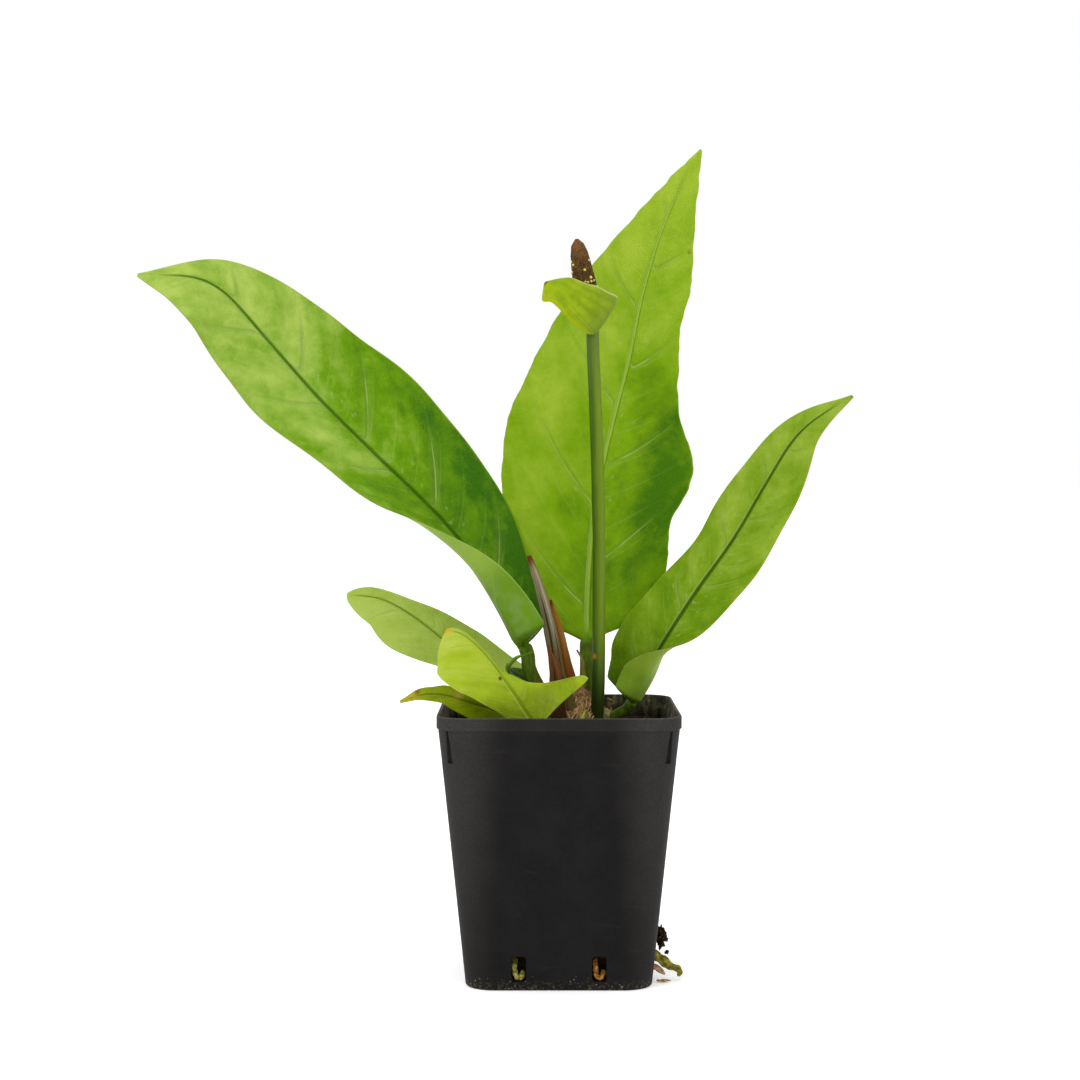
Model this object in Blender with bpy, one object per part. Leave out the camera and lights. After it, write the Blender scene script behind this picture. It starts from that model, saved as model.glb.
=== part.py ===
"""A flamingo flower in a square nursery pot.

Sizes are in millimetres and angles in degrees until MM and math.radians turn them.
The pot stands on the floor at the origin: +Z is up, -Y is the front, +X is to the right.
The plant's points are offsets from the crown, the spot on the mix where it grows.
"""

import math
import random

import bmesh
import bpy
import numpy as np

for old in list(bpy.data.objects):
    bpy.data.objects.remove(old)

MM = 0.001
GAP = 0.3  # clearance between neighbouring pieces
STEM_GAP = 0.45  # clearance round the knobbly stem base

# Pot
RIM_WIDTH = 90.0
BASE_WIDTH = 69.3
POT_HEIGHT = 101.5
RIM_CORNER = 12.0
BASE_CORNER = 11.0
WALL = 1.0
FLOOR = 1.6
COLLAR_HEIGHT = 4.8
COLLAR_STEP = 0.65
RECESS_HEIGHT = 12.0
RECESS_DEPTH = 1.4
SLOT_SPACING = 29.6
SLOT_WIDTH = 5.5
SLOT_HEIGHT = 9.7
SLOT_BOTTOM = 3.3
POCKET_DEPTH = 5.0

# Mix and crown
HEADSPACE = 7.5
REACH = RIM_WIDTH / 90.0  # low leaves spread with the pot
CROWN = np.array([8.0, 0.0, POT_HEIGHT - HEADSPACE])
RHIZOME_WIDTH = 22.0
RHIZOME_DEPTH = 16.0

# Plant
BLADE = 0.8  # thickness of a leaf
SHEATH = 0.6
PETIOLE = 2.7  # radius
PEDUNCLE = 2.4  # radius
SPADIX = 4.7  # largest radius
SPADIX_INSET = 2.3  # how far the foot of the spadix is drawn in from that
SEED = 7


def along(values, share):
    """The value at a share of a list, on a smooth curve through its entries."""
    v = np.asarray(values, dtype=float)
    if len(v) == 1:
        return v[0]
    s = min(max(share, 0.0), 1.0) * (len(v) - 1)
    i = min(int(s), len(v) - 2)
    f = s - i
    b, c = v[i], v[i + 1]
    a = v[i - 1] if i > 0 else 2 * b - c
    d = v[i + 2] if i + 2 < len(v) else 2 * c - b
    square = 2 * a - 5 * b + 4 * c - d
    cube = 3 * b - a - 3 * c + d
    return 0.5 * (2 * b + (c - a) * f + square * f ** 2 + cube * f ** 3)


def unit(v):
    return v / np.linalg.norm(v)


def ease(x):
    x = min(max(x, 0.0), 1.0)
    return x * x * (3 - 2 * x)


def material(name, colour, roughness):
    found = bpy.data.materials.get(name)
    if found:
        return found
    made = bpy.data.materials.new(name)
    made.use_nodes = True
    shader = made.node_tree.nodes["Principled BSDF"]
    shader.inputs["Base Color"].default_value = (*colour, 1.0)
    shader.inputs["Roughness"].default_value = roughness
    return made


def add(name, points, faces, surface, smooth=True):
    """One closed object from points in millimetres, with its faces turned outward."""
    mesh = bpy.data.meshes.new(name)
    mesh.from_pydata([tuple(np.asarray(p, dtype=float) * MM) for p in points], [], faces)
    shape = bmesh.new()
    shape.from_mesh(mesh)
    bmesh.ops.recalc_face_normals(shape, faces=shape.faces)
    if shape.calc_volume(signed=True) < 0:
        bmesh.ops.reverse_faces(shape, faces=shape.faces)
    for face in shape.faces:
        face.smooth = smooth
    shape.to_mesh(mesh)
    shape.free()
    piece = bpy.data.objects.new(name, mesh)
    bpy.context.scene.collection.objects.link(piece)
    mesh.materials.append(surface)
    return piece


def loft(rings):
    """Points and faces of a closed skin over rings of equal length."""
    count = len(rings[0])
    points = [p for ring in rings for p in ring]
    faces = [tuple(reversed(range(count)))]
    for r in range(len(rings) - 1):
        for i in range(count):
            j = (i + 1) % count
            faces.append((r * count + i, r * count + j, (r + 1) * count + j, (r + 1) * count + i))
    faces.append(tuple(range((len(rings) - 1) * count, len(rings) * count)))
    return points, faces


def cut(piece, cutter):
    step = piece.modifiers.new("cut", "BOOLEAN")
    step.operation = "DIFFERENCE"
    step.solver = "EXACT"
    step.object = cutter


def as_cutter(piece):
    piece.hide_render = True
    piece.display_type = "WIRE"
    return piece


def square_ring(z, half, corner, push=0.0, recess=1.0):
    """A rounded square whose corners can be pushed in over a narrow recess."""
    edge = math.degrees(recess / (2 * corner))
    turns = (0, 20, 45 - edge - 1.2, 45 - edge, 45 + edge, 45 + edge + 1.2, 70, 90)
    ring = []
    for quarter in range(4):
        for n, turn in enumerate(turns):
            a = math.radians(turn)
            radius = corner - (push if n in (3, 4) else 0.0)
            x, y = half - corner + radius * math.cos(a), half - corner + radius * math.sin(a)
            for _ in range(quarter):
                x, y = -y, x
            ring.append((x, y, z))
    return ring


def wall_half(z):
    """Half the pot's outer width below the collar."""
    share = z / (POT_HEIGHT - COLLAR_HEIGHT)
    return (BASE_WIDTH + (RIM_WIDTH - 2 * COLLAR_STEP - BASE_WIDTH) * share) / 2


def wall_corner(z):
    return BASE_CORNER + (RIM_CORNER - BASE_CORNER) * z / POT_HEIGHT


def slot_boxes(name, width, height, bottom, inner, outer):
    """Boxes at the eight drainage slots, from inner to outer half width, as one object."""
    points, faces = [], []
    for quarter in range(4):
        for side in (-1, 1):
            start = len(points)
            for z in (bottom, bottom + height):
                for y in (inner, outer):
                    for x in (-width / 2, width / 2):
                        px, py = side * SLOT_SPACING / 2 + x, y
                        for _ in range(quarter):
                            px, py = -py, px
                        points.append((px, py, z))
            quads = ((0, 2, 3, 1), (4, 5, 7, 6), (0, 1, 5, 4), (2, 6, 7, 3), (0, 4, 6, 2), (1, 3, 7, 5))
            faces += [tuple(start + i for i in quad) for quad in quads]
    return as_cutter(add(name, points, faces, BLACK, smooth=False))


def make_pot():
    low, high = POT_HEIGHT - COLLAR_HEIGHT - RECESS_HEIGHT, POT_HEIGHT - COLLAR_HEIGHT
    rim = RIM_WIDTH / 2
    skin = WALL + 0.2
    outer = [
        square_ring(0, wall_half(0) - 0.8, BASE_CORNER - 0.8),
        square_ring(0.8, wall_half(0.8), BASE_CORNER),
        square_ring(low - 0.3, wall_half(low), wall_corner(low), 0, 2.8),
        square_ring(low, wall_half(low), wall_corner(low), RECESS_DEPTH, 2.8),
        square_ring(high - 0.6, wall_half(high), wall_corner(high), RECESS_DEPTH, 1.0),
        square_ring(high - 0.1, wall_half(high), wall_corner(high), 0, 1.0),
        square_ring(high + 0.1, rim, RIM_CORNER),
        square_ring(POT_HEIGHT - 0.3, rim, RIM_CORNER),
        square_ring(POT_HEIGHT, rim - 0.3, RIM_CORNER - 0.3),
    ]
    inner = [
        square_ring(POT_HEIGHT, rim - skin + 0.3, RIM_CORNER - skin + 0.3),
        square_ring(POT_HEIGHT - 0.3, rim - skin, RIM_CORNER - skin),
        square_ring(high + 1.2, rim - skin, RIM_CORNER - skin, 0, 2.4),
    ]
    steps = ((high + 0.2, 0, 2.4), (high - 0.4, 1, 2.4), (low - 0.7, 1, 4.2), (low - 1.4, 0, 4.2))
    for z, push, recess in steps:
        half, corner = wall_half(z) - WALL, wall_corner(z) - WALL
        inner.append(square_ring(z, half, corner, push * RECESS_DEPTH, recess))
    inner.append(square_ring(FLOOR + 0.8, wall_half(FLOOR + 0.8) - WALL, BASE_CORNER - WALL))
    inner.append(square_ring(FLOOR, wall_half(FLOOR) - WALL - 0.8, BASE_CORNER - WALL - 0.8))
    pot = add("pot", *loft(outer + inner), BLACK, smooth=False)
    slots = slot_boxes("slot_cutter", SLOT_WIDTH, SLOT_HEIGHT, SLOT_BOTTOM,
                       BASE_WIDTH / 2 - 4, BASE_WIDTH / 2 + 4)
    cut(pot, slots)
    return pot


def make_mix(name, grow):
    """The root ball: it fills the pot to the headspace, a clearance off the wall.

    grow is added to the top, for the copy that trims what comes out of the mix.
    """
    rng = random.Random(SEED)
    low = POT_HEIGHT - COLLAR_HEIGHT - RECESS_HEIGHT
    top = CROWN[2] + grow
    off = WALL + GAP
    rings = []
    for z, push in ((FLOOR + GAP + 0.6, 0), (low - 2.2, 0), (low - 1.0, 1), (top - 0.8, 1)):
        half, corner = wall_half(z) - off, wall_corner(z) - off
        rings.append(square_ring(z, half, corner, push * RECESS_DEPTH, 5.0))
    rings.insert(0, [(x * 0.97, y * 0.97, FLOOR + GAP) for x, y, _ in rings[0]])
    edge = rings[-1]
    for share in (0.9, 0.7, 0.48, 0.25, 0.08):
        rings.append([(x * share, y * share, top + rng.uniform(-0.8, 0.8) * share) for x, y, _ in edge])
    return add(name, *loft(rings), MIX, smooth=False)


def hollow_mix(mix, rhizome_cutter):
    """Takes the stem base and the space behind the drainage slots out of the root ball."""
    cut(mix, rhizome_cutter)
    reach = wall_half(SLOT_BOTTOM) - WALL
    pockets = slot_boxes("pocket_cutter", SLOT_WIDTH - 0.4, SLOT_HEIGHT - 0.4, SLOT_BOTTOM + 0.2,
                         reach - POCKET_DEPTH, reach + 4)
    cut(mix, pockets)


def make_rhizome(name, grow):
    """The woody stem base. grow is added all round, for the clearance copy."""
    rings = []
    levels = (-13.0, -10.0, -4.0, 1.0, 6.0, 10.5, 14.0, 16.0)
    spreads = (0.55, 0.82, 0.98, 1.0, 0.9, 0.66, 0.4, 0.16)
    leans = (0.0, 0.0, 0.0, 0.0, -0.5, -1.5, -2.5, -3.0)
    for n, (z, spread, lean) in enumerate(zip(levels, spreads, leans)):
        z += grow if n == len(levels) - 1 else (-grow if n == 0 else 0)
        ring = []
        for i in range(20):
            a = 2 * math.pi * i / 20
            bump = 1 + 0.04 * math.cos(3 * a + n) + 0.03 * math.cos(5 * a - 2 * n)
            x = (RHIZOME_WIDTH / 2 * spread * bump + grow) * math.cos(a) + lean
            y = (RHIZOME_DEPTH / 2 * spread * bump + grow) * math.sin(a) + 1.0
            ring.append(CROWN + (x, y, z))
        rings.append(ring)
    return add(name, *loft(rings), BARK)


def tube(name, points, radii, surface, rows=14, sides=12, flat=1.0):
    """A stem or root along a smooth route with a changing radius."""
    route = np.array(points, dtype=float)
    rings = []
    side = None
    for r in range(rows + 1):
        share = r / rows
        heading = unit(along(route, min(share + 0.01, 1)) - along(route, max(share - 0.01, 0)))
        if side is None:
            side = unit(np.cross(heading, (0.1, 1.0, 0.3)))
        side = unit(side - side @ heading * heading)
        other = np.cross(heading, side)
        centre, radius = along(route, share), float(along(radii, share))
        turns = [2 * math.pi * i / sides for i in range(sides)]
        rings.append([centre + radius * (math.cos(a) * side + flat * math.sin(a) * other) for a in turns])
    return add(name, *loft(rings), surface)


COLUMNS = (-1.0, -0.8, -0.5, -0.16, 0.0, 0.16, 0.5, 0.8, 1.0)


def blade(name, surface, rib, face, left, right, stalk=(), lift=((0,), (0,)), curl=((0,), (0,)),
          sweep=((0,), (0,)), radius=PETIOLE, thickness=BLADE, base=0.06, keel=1.0, rows=16, stalk_rows=6,
          tip=0.4):
    """A leaf, spathe or sheath: a round stalk that opens into a thin blade along its rib.

    rib and stalk are points from the base up. face holds directions that the blade looks in.
    left and right are the half widths from base to tip. lift is the angle at which each half
    leaves the rib, curl how far it then turns toward the face, and sweep how far it leans to
    the tip; each is a pair of lists, left then right.
    """
    route = np.array(list(stalk) + list(rib), dtype=float)
    first = len(stalk) / (len(route) - 1)

    def spot(t):
        return along(route, first + t * (1 - first) if t >= 0 else first * (1 + t))

    def section(t):
        heading = unit(spot(min(t + 0.01, 1)) - spot(max(t - 0.01, -1 if stalk else 0)))
        look = along(face, max(t, 0))
        normal = unit(look - look @ heading * heading)
        across = np.cross(heading, normal)
        centre = spot(t)
        open_share = ease((t + 0.02) / 0.08) if stalk else 1.0
        top, under = [], []
        for x in COLUMNS:
            half = 0 if x < 0 else 1
            width = float(along((left, right)[half], max(t, 0)))
            if t < base:
                width *= math.sqrt(max(0.0, 1 - (1 - max(t, 0) / base) ** 2)) if stalk else 1.0
            width = max(width, tip)
            a, c, s = (math.radians(float(along(v[half], max(t, 0)))) for v in (lift, curl, sweep))
            reach = abs(x) * width
            if abs(c) < 1e-3:
                out, up = reach * math.cos(a), reach * math.sin(a)
            else:
                bend = width / c
                out = bend * (math.sin(a + c * abs(x)) - math.sin(a))
                up = -bend * (math.cos(a + c * abs(x)) - math.cos(a))
            sign = -1 if x < 0 else 1
            slope = a + c * abs(x)
            rise = math.cos(slope) * normal - sign * math.sin(slope) * across
            spread = sign * out * across + up * normal
            middle = centre + spread * math.cos(s) + heading * reach * math.sin(s)
            skin = thickness / 2 * (1 - 0.45 * x * x)
            rounding = radius * 1.3 * keel * (1 - max(t, 0)) ** 1.3 * math.exp(-(reach / (radius * 1.1)) ** 2)
            turn = math.radians(80 * x)
            round_top = centre + radius * (math.sin(turn) * across + math.cos(turn) * normal)
            round_under = centre + radius * (math.sin(turn) * across - math.cos(turn) * normal)
            thin_top, thin_under = middle + skin * rise, middle - (skin + rounding) * rise
            top.append(round_top + (thin_top - round_top) * open_share)
            under.append(round_under + (thin_under - round_under) * open_share)
        return top + under[::-1]

    steps = [-1 + i / stalk_rows for i in range(stalk_rows)] if stalk else []
    steps += [0.5 - 0.5 * math.cos(math.pi * i / rows) for i in range(rows + 1)]
    if stalk:
        steps[stalk_rows:stalk_rows + 1] = [-0.02, 0.008]
    return add(name, *loft([section(t) for t in steps]), surface)


def from_crown(*points, reach=1.0):
    """Points measured from the crown. reach stretches them with the pot's width."""
    return [CROWN * (reach, reach, 1) + np.array(p) * (reach, reach, 1) for p in points]


def blob(name, centre, radii, surface, bumps=0.15, seed=0, rings=6, sides=10):
    """A small lump such as a bud, a crumb or a clod of mix."""
    rng = random.Random(seed)
    skins = []
    for r in range(rings + 1):
        polar = math.pi * (0.06 + 0.88 * r / rings)
        ring = []
        for i in range(sides):
            a = 2 * math.pi * i / sides
            size = 1 + rng.uniform(-bumps, bumps)
            spot = (math.sin(polar) * math.cos(a), math.sin(polar) * math.sin(a), -math.cos(polar))
            ring.append(np.array(centre) + np.array(spot) * np.array(radii) * size)
        skins.append(ring)
    return add(name, *loft(skins), surface)


def make_leaves():
    beside = PETIOLE * 1.1 + 2 * GAP  # between the middles of the front and rim leaves' stalks
    ahead = PETIOLE * 1.75  # how far forward the rim leaf's stalk stands, to clear the left leaf's
    return [
        blade(
            "leaf_tall", GREEN,
            stalk=from_crown((4, 2, -2), (5, 2, 4), (3, 4, 13), (3, 6, 24)),
            rib=from_crown((3, 8, 32), (4, 13, 60), (7, 18, 87), (13, 23, 114), (20, 28, 141), (26, 31, 169),
                           (35, 32, 197), (48, 29, 223)),
            face=((0.1, -1, 0.1), (0.05, -1, 0), (0, -1, 0.05)),
            left=(20, 29, 36, 40, 37, 31, 20, 9, 0.5),
            right=(16, 29, 30, 35, 24, 18, 17, 10, 0.5),
            lift=((6, 4, 4), (14, 12, 10)),
            curl=((-8,), (-14,)),
        ),
        blade(
            "leaf_left", GREEN,
            stalk=from_crown((-5, -2, -2), (-9, -3, 5), (-15, -5, 14), (-19, -5, 22)),
            rib=from_crown((-21, -4, 31), (-34, -3, 55), (-51, -2, 77), (-74, -4, 100), (-98, -8, 124),
                           (-117, -13, 146), (-137, -19, 167), (-163, -27, 169)),
            face=((0.3, -0.8, 0.45), (0.25, -0.85, 0.45), (0.1, -0.75, 0.6)),
            left=(20, 22.5, 24, 26, 20, 24, 23, 22, 0.5),
            right=(12, 18.5, 27.5, 32, 34, 29, 22, 10.5, 0.5),
            lift=((20, 20, 20, 18, 6, 0, 0, 0, 0), (0, 5, 8, 8, 8)),
            curl=((185, 145, 78, 35, 0, 0, 0, 0, 0), (-10,)),
        ),
        blade(
            "leaf_right", GREEN,
            stalk=from_crown((6, 2, -4), (9, 3, 0), (13, 3, 3), (18, 2, 6)),
            rib=from_crown((20, 0, 9), (26, -1, 19), (31, -2, 30), (44, -4, 51), (58, -6, 71), (70, -8, 92),
                           (83, -10, 112), (102, -14, 125)),
            face=((-0.2, -0.9, 0.35), (-0.2, -0.85, 0.45), (0, -0.7, 0.7)),
            left=(12, 16, 18.5, 16, 12.5, 13.5, 10.5, 6.5, 0.5),
            right=(14, 18, 17, 14, 16, 16, 14.5, 8.5, 0.5),
            lift=((10,), (40, 40, 40, 12, 5, 5, 5, 5, 5)),
            curl=((-10,), (165, 185, 105, 5, 0, 0, 0, 0, 0)),
            radius=PETIOLE * 0.9,
        ),
        blade(
            "leaf_low_left", PALE,
            stalk=from_crown((-4, 4, -2), (-10, 7, 3), (-14, 9, 8), reach=REACH),
            rib=from_crown((-18, 10, 12), (-34, 12, 20), (-48, 14, 28), (-62, 16, 39), (-76, 17, 48),
                           (-92, 15, 50), reach=REACH),
            face=((0.2, -0.75, 0.6),),
            left=(5, 6, 8, 10.5, 16.5, 19.5, 17, 16, 0.5),
            right=(7, 9, 11, 12, 10.5, 7.5, 4.5, 4.5, 0.5),
            lift=((5,), (5,)),
            radius=PETIOLE * 0.7,
            rows=13,
            stalk_rows=4,
        ),
        blade(
            "leaf_front", PALE,
            stalk=from_crown((-2, -6, 1.5), (-8, -16, 1.8), (-13, -24, 3), reach=REACH),
            rib=from_crown((-17, -28, 6), (-24, -31, 14), (-28, -32, 20), (-31, -32, 24), (-35, -32, 30),
                           (-39, -31, 34), (-42, -30, 37), (-51, -27, 38), reach=REACH),
            face=((0.2, -0.93, -0.17), (0.2, -0.85, 0.45), (0.2, -0.8, 0.55), (0.2, -0.8, 0.55),
                  (0.2, -0.8, 0.55)),
            left=(5, 6, 12, 15, 18.5, 19, 18, 17, 0.5),
            right=(23, 14, 6, 9, 9, 9, 8, 6, 0.5),
            lift=((0,), (0, 0, -10, -30, -30, -30, -30, -20, 0)),
            curl=((-10,), (0, 0, -30, -120, -130, -130, -120, -90, 0)),
            radius=PETIOLE * 0.6,
            rows=14,
            stalk_rows=4,
        ),
        blade(
            "leaf_rim", OLIVE,
            stalk=from_crown((-2 - beside, -1.075 - ahead, 0.4), (-8.5 - beside, -6.775 - ahead, 1.6),
                             (-19, -17, 3.4), reach=REACH),
            rib=from_crown((-26, -22, 6), (-34, -25, 9), (-43, -27, 12), (-50, -26, 14), (-58, -24, 14),
                           (-67, -20, 11), reach=REACH),
            face=((0.1, -0.8, 0.6),),
            left=(7, 8, 7, 6, 5, 3.5, 2.3, 1.3, 0.5),
            right=(3, 3.5, 4.5, 4.5, 4, 4, 3, 2.3, 0.5),
            radius=PETIOLE * 0.5,
            rows=12,
            stalk_rows=4,
        ),
        blade(
            "leaf_small", GREEN,
            stalk=from_crown((-5, 2, 0), (-10, 3, 8)),
            rib=from_crown((-15, 2, 13), (-20, 0, 17), (-25, -4, 20), (-27, -8, 23), (-25, -11, 26),
                           (-22, -13, 28), (-18, -12, 29)),
            face=((0.1, -0.8, 0.5), (0.3, -0.6, 0.6), (0.8, 0.2, 0.4)),
            left=(4, 5, 3.5, 1.6, 1, 0.8, 0.6, 0.4),
            right=(4, 5, 3.5, 1.6, 1, 0.8, 0.6, 0.4),
            radius=PETIOLE * 0.4,
            rows=13,
            stalk_rows=3,
        ),
    ]


def make_flower():
    stem = from_crown((6.5, -4, 1.2), (6.8, -5, 6), (7.2, -6, 20), (7.3, -6, 45), (7.3, -6, 70),
                      (6.8, -6, 95), (6.0, -6, 120), (5.1, -6, 140), (4.8, -6, 151))
    peduncle = tube("peduncle", stem, (PEDUNCLE, PEDUNCLE * 1.02, PEDUNCLE), GREEN, rows=15, sides=12)
    top = stem[-1]
    lean = np.array([-5.9, -0.8, 32.5])
    start = top + unit(lean) * (2 * GAP + 0.2)
    shares = (0.0, 0.1, 0.25, 0.4, 0.55, 0.7, 0.83, 0.93, 1.0)
    radii = [SPADIX * s for s in (0.5, 0.85, 1.0, 1.0, 0.93, 0.84, 0.74, 0.55, 0.12)]
    tube("spadix", [start + lean * s for s in shares], radii, BROWN, rows=12, sides=12)
    stands_off = max(PEDUNCLE, SPADIX - SPADIX_INSET) + BLADE / 2 + 2 * GAP
    front = top + (0, -stands_off, -1)
    blade(
        "spathe", LIME,
        rib=[front + p for p in ((0, 0, 0), (-4, -3, 4), (-8, -6.5, 8), (-13, -8.5, 13), (-18, -8.5, 17))],
        face=((0, -1, -0.1), (0, -1, 0.1)),
        left=(2.5, 3, 3.5, 4, 4, 4, 4.5, 6, 0.5),
        right=(17, 16, 15, 14, 12, 10.5, 9, 5.5, 0.5),
        lift=((0,), (5,)),
        curl=((-30,), (-55,)),
        thickness=BLADE,
        keel=0.0,
        rows=12,
    )
    return [peduncle]


def make_sheaths():
    wrap = ((-60,), (-60,))
    common = dict(thickness=SHEATH, keel=0.0, rows=7, tip=0.25)
    return [
        blade("sheath_inner", STRAW, face=((0.1, -1, 0.1),), curl=wrap, **common,
              rib=from_crown((-3, -6.5, 7), (-9, -6, 20), (-12, -6, 35), (-16, -6.5, 50), (-19.5, -6.5, 65)),
              left=(3.5, 3.4, 3, 2.6, 2.1, 0.8), right=(3.5, 3.4, 3, 2.6, 2.1, 0.8)),
        blade("sheath_outer", ORANGE, face=((0.1, -1, 0.1),), curl=wrap, **common,
              rib=from_crown((-2, 0.5, 8), (-3.5, 0.5, 16), (-6, 0, 28), (-8, -0.5, 38), (-11, -0.5, 48)),
              left=(3.5, 3.3, 2.6, 1.8, 0.4), right=(3.5, 3.3, 2.6, 1.8, 0.4)),
        blade("sheath_short", DARK_STRAW, face=((0.1, -1, 0.1),), curl=wrap, **common,
              rib=from_crown((-8, -9, 4), (-8.5, -9.5, 12), (-9, -10, 22), (-12, -10, 31)),
              left=(4, 3.6, 2.8, 0.4), right=(4, 3.6, 2.8, 0.4)),
        blade("sheath_thin", STRAW, face=((0.1, -1, 0.1),), curl=wrap, **common,
              rib=from_crown((2, -2, 15), (1.6, -2, 21), (1, -2, 25), (-1, -2, 29)),
              left=(1, 0.9, 0.7, 0.25), right=(1, 0.9, 0.7, 0.25)),
    ]


def make_roots():
    """Buds, roots and crumbs of mix, at the crown and at the drainage slots."""
    bud = blob("bud", CROWN + (10.1, -1.0, 4.5), (1.7, 1.5, 2.2), PALE, bumps=0.05, seed=1)
    tube("shoot", from_crown((0.5, -9.5, 1.0), (1.2, -9.6, 4.0), (2.4, -9.8, 7.0), reach=REACH),
         (1.0, 0.8, 0.15), LIME, rows=5, sides=8)
    tube("aerial_root", from_crown((11, 9, 1.2), (12.5, 9, 5), (12, 9, 6.5), (13.5, 9, 8), (11, 9, 9.5)),
         (0.45, 0.4, 0.25), TAN, rows=10, sides=7)
    wall = wall_half(8) - WALL
    low = SLOT_BOTTOM
    loops = (("root_slot_left", -1, 0.95), ("root_slot_right", 1, 0.8))
    for name, side, radius in loops:
        x = side * SLOT_SPACING / 2
        offsets = ((-1.4, -3.4, 8.0), (-1.5, -0.6, 5.5), (-0.9, 0.2, 2.4), (0.5, 0.2, 1.9), (1.4, -0.6, 4.0),
                   (1.3, -3.4, 5.5))
        tube(name, [(x + a, -(wall + b), low + c) for a, b, c in offsets], (radius,), TAN, rows=14, sides=8)
    y = -SLOT_SPACING / 2
    upper = ((-3.6, 0, 9.4), (2.2, 0, 8.9), (4.1, 0, 7.8), (6.0, -0.5, 5.9), (8.0, -0.7, 4.8),
             (10.3, -1, 3.9), (11.1, -1.2, 2.4), (10.3, -1.2, 1.4))
    tube("root_side_upper", [(wall + a, y + b, c) for a, b, c in upper],
         (1.9, 2.0, 1.9, 1.7, 1.4, 1.2, 1.1, 0.7), OLIVE, rows=16, sides=10)
    lower = ((-3.6, 0, 5.1), (1.5, 0, 4.6), (3.6, 0, 3.2), (5.6, 0, 1.7))
    tube("root_side_lower", [(wall + a, y + b, c) for a, b, c in lower],
         (1.2, 1.2, 1.1, 0.4), TAN, rows=9, sides=9)
    blob("mix_clump", (wall_half(20) + 2.8, y, 15.8), (2.1, 3.4, 4.2), MIX, bumps=0.14, seed=4)
    blob("mix_crumb", (wall + 6.2, y - 0.4, 10.2), (1.1, 1.1, 0.8), MIX, bumps=0.12, seed=5, rings=4, sides=8)
    blob("root_remnant", (wall_half(0) + 4.4, y - 6, 0.75), (3.0, 1.4, 0.6), BARK,
         bumps=0.08, seed=6, rings=4, sides=10)
    return [bud]


BLACK = material("pot_plastic", (0.014, 0.014, 0.015), 0.55)
MIX = material("potting_mix", (0.022, 0.016, 0.011), 0.95)
BARK = material("rhizome_bark", (0.13, 0.075, 0.035), 0.9)
GREEN = material("leaf_green", (0.11, 0.26, 0.015), 0.35)
PALE = material("leaf_pale", (0.33, 0.5, 0.05), 0.4)
OLIVE = material("leaf_olive", (0.17, 0.19, 0.015), 0.45)
LIME = material("spathe_lime", (0.36, 0.5, 0.01), 0.4)
BROWN = material("spadix_brown", (0.06, 0.025, 0.012), 0.7)
STRAW = material("sheath_straw", (0.25, 0.2, 0.1), 0.7)
DARK_STRAW = material("sheath_dark", (0.07, 0.03, 0.01), 0.8)
ORANGE = material("sheath_orange", (0.28, 0.09, 0.01), 0.6)
TAN = material("root_tan", (0.3, 0.19, 0.07), 0.7)

make_pot()
stem_space = as_cutter(make_rhizome("rhizome_cutter", STEM_GAP))
mix_space = as_cutter(make_mix("mix_cutter", GAP))
hollow_mix(make_mix("potting_mix", 0.0), stem_space)
make_rhizome("rhizome", 0.0)
for leaf in make_leaves():
    cut(leaf, mix_space)
    cut(leaf, stem_space)
for grown in make_flower() + make_sheaths() + make_roots():
    cut(grown, stem_space)
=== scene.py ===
"""A flamingo flower in a square nursery pot: its looks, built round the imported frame.

Lengths are in millimetres until MM turns them. +Z is up, -Y is the front, +X the right.
"""

import math
import random

import bmesh
import bpy
import numpy as np
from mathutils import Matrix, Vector, noise


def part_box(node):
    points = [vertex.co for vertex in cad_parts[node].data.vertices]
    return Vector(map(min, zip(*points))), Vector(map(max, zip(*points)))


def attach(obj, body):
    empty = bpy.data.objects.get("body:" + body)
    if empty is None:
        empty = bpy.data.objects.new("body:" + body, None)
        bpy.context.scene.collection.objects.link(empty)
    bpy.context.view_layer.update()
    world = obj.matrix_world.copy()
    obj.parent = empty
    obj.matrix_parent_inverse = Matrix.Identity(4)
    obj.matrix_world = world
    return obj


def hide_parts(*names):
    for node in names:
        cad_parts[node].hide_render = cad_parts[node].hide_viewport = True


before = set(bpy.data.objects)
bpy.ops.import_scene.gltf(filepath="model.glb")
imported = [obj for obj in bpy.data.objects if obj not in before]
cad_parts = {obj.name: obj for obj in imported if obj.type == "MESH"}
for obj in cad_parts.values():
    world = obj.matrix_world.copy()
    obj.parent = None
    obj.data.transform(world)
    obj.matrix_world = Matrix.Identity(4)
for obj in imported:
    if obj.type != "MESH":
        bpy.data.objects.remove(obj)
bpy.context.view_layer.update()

MM = 0.001
pot_low, pot_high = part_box("pot")
RIM_WIDTH = (pot_high[0] - pot_low[0]) / MM
HEIGHT = pot_high[2] / MM
BASE_WIDTH = 69.3
WALL = 1.0
FLOOR = 1.6
COLLAR_HEIGHT = 4.8
COLLAR_STEP = 0.65  # how far the collar stands out from the wall
RECESS_HEIGHT = 12.0
RECESS_DEPTH = 1.4
RIM_CORNER = 12.0
BASE_CORNER = 11.0
SLOT_SPACING = 29.6
SLOT_WIDTH = 5.5
SLOT_HEIGHT = 9.7
SLOT_BOTTOM = 3.3
MIX_DEPTH = 7.5  # from the rim down to the mix
CROWN = np.array([8.0, 0.0, HEIGHT - MIX_DEPTH])  # where the stems rise from the mix
BLADE = 0.8  # a leaf's thickness at its rib
SHEATH = 0.6
PETIOLE = 2.7  # these three are radii
PEDUNCLE = 2.4
SPADIX = 4.7


# ---------------------------------------------------------------- finishes

ROOM_LIGHT = 1.25  # how much brighter than its own colour a plain face looks in the room


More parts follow.
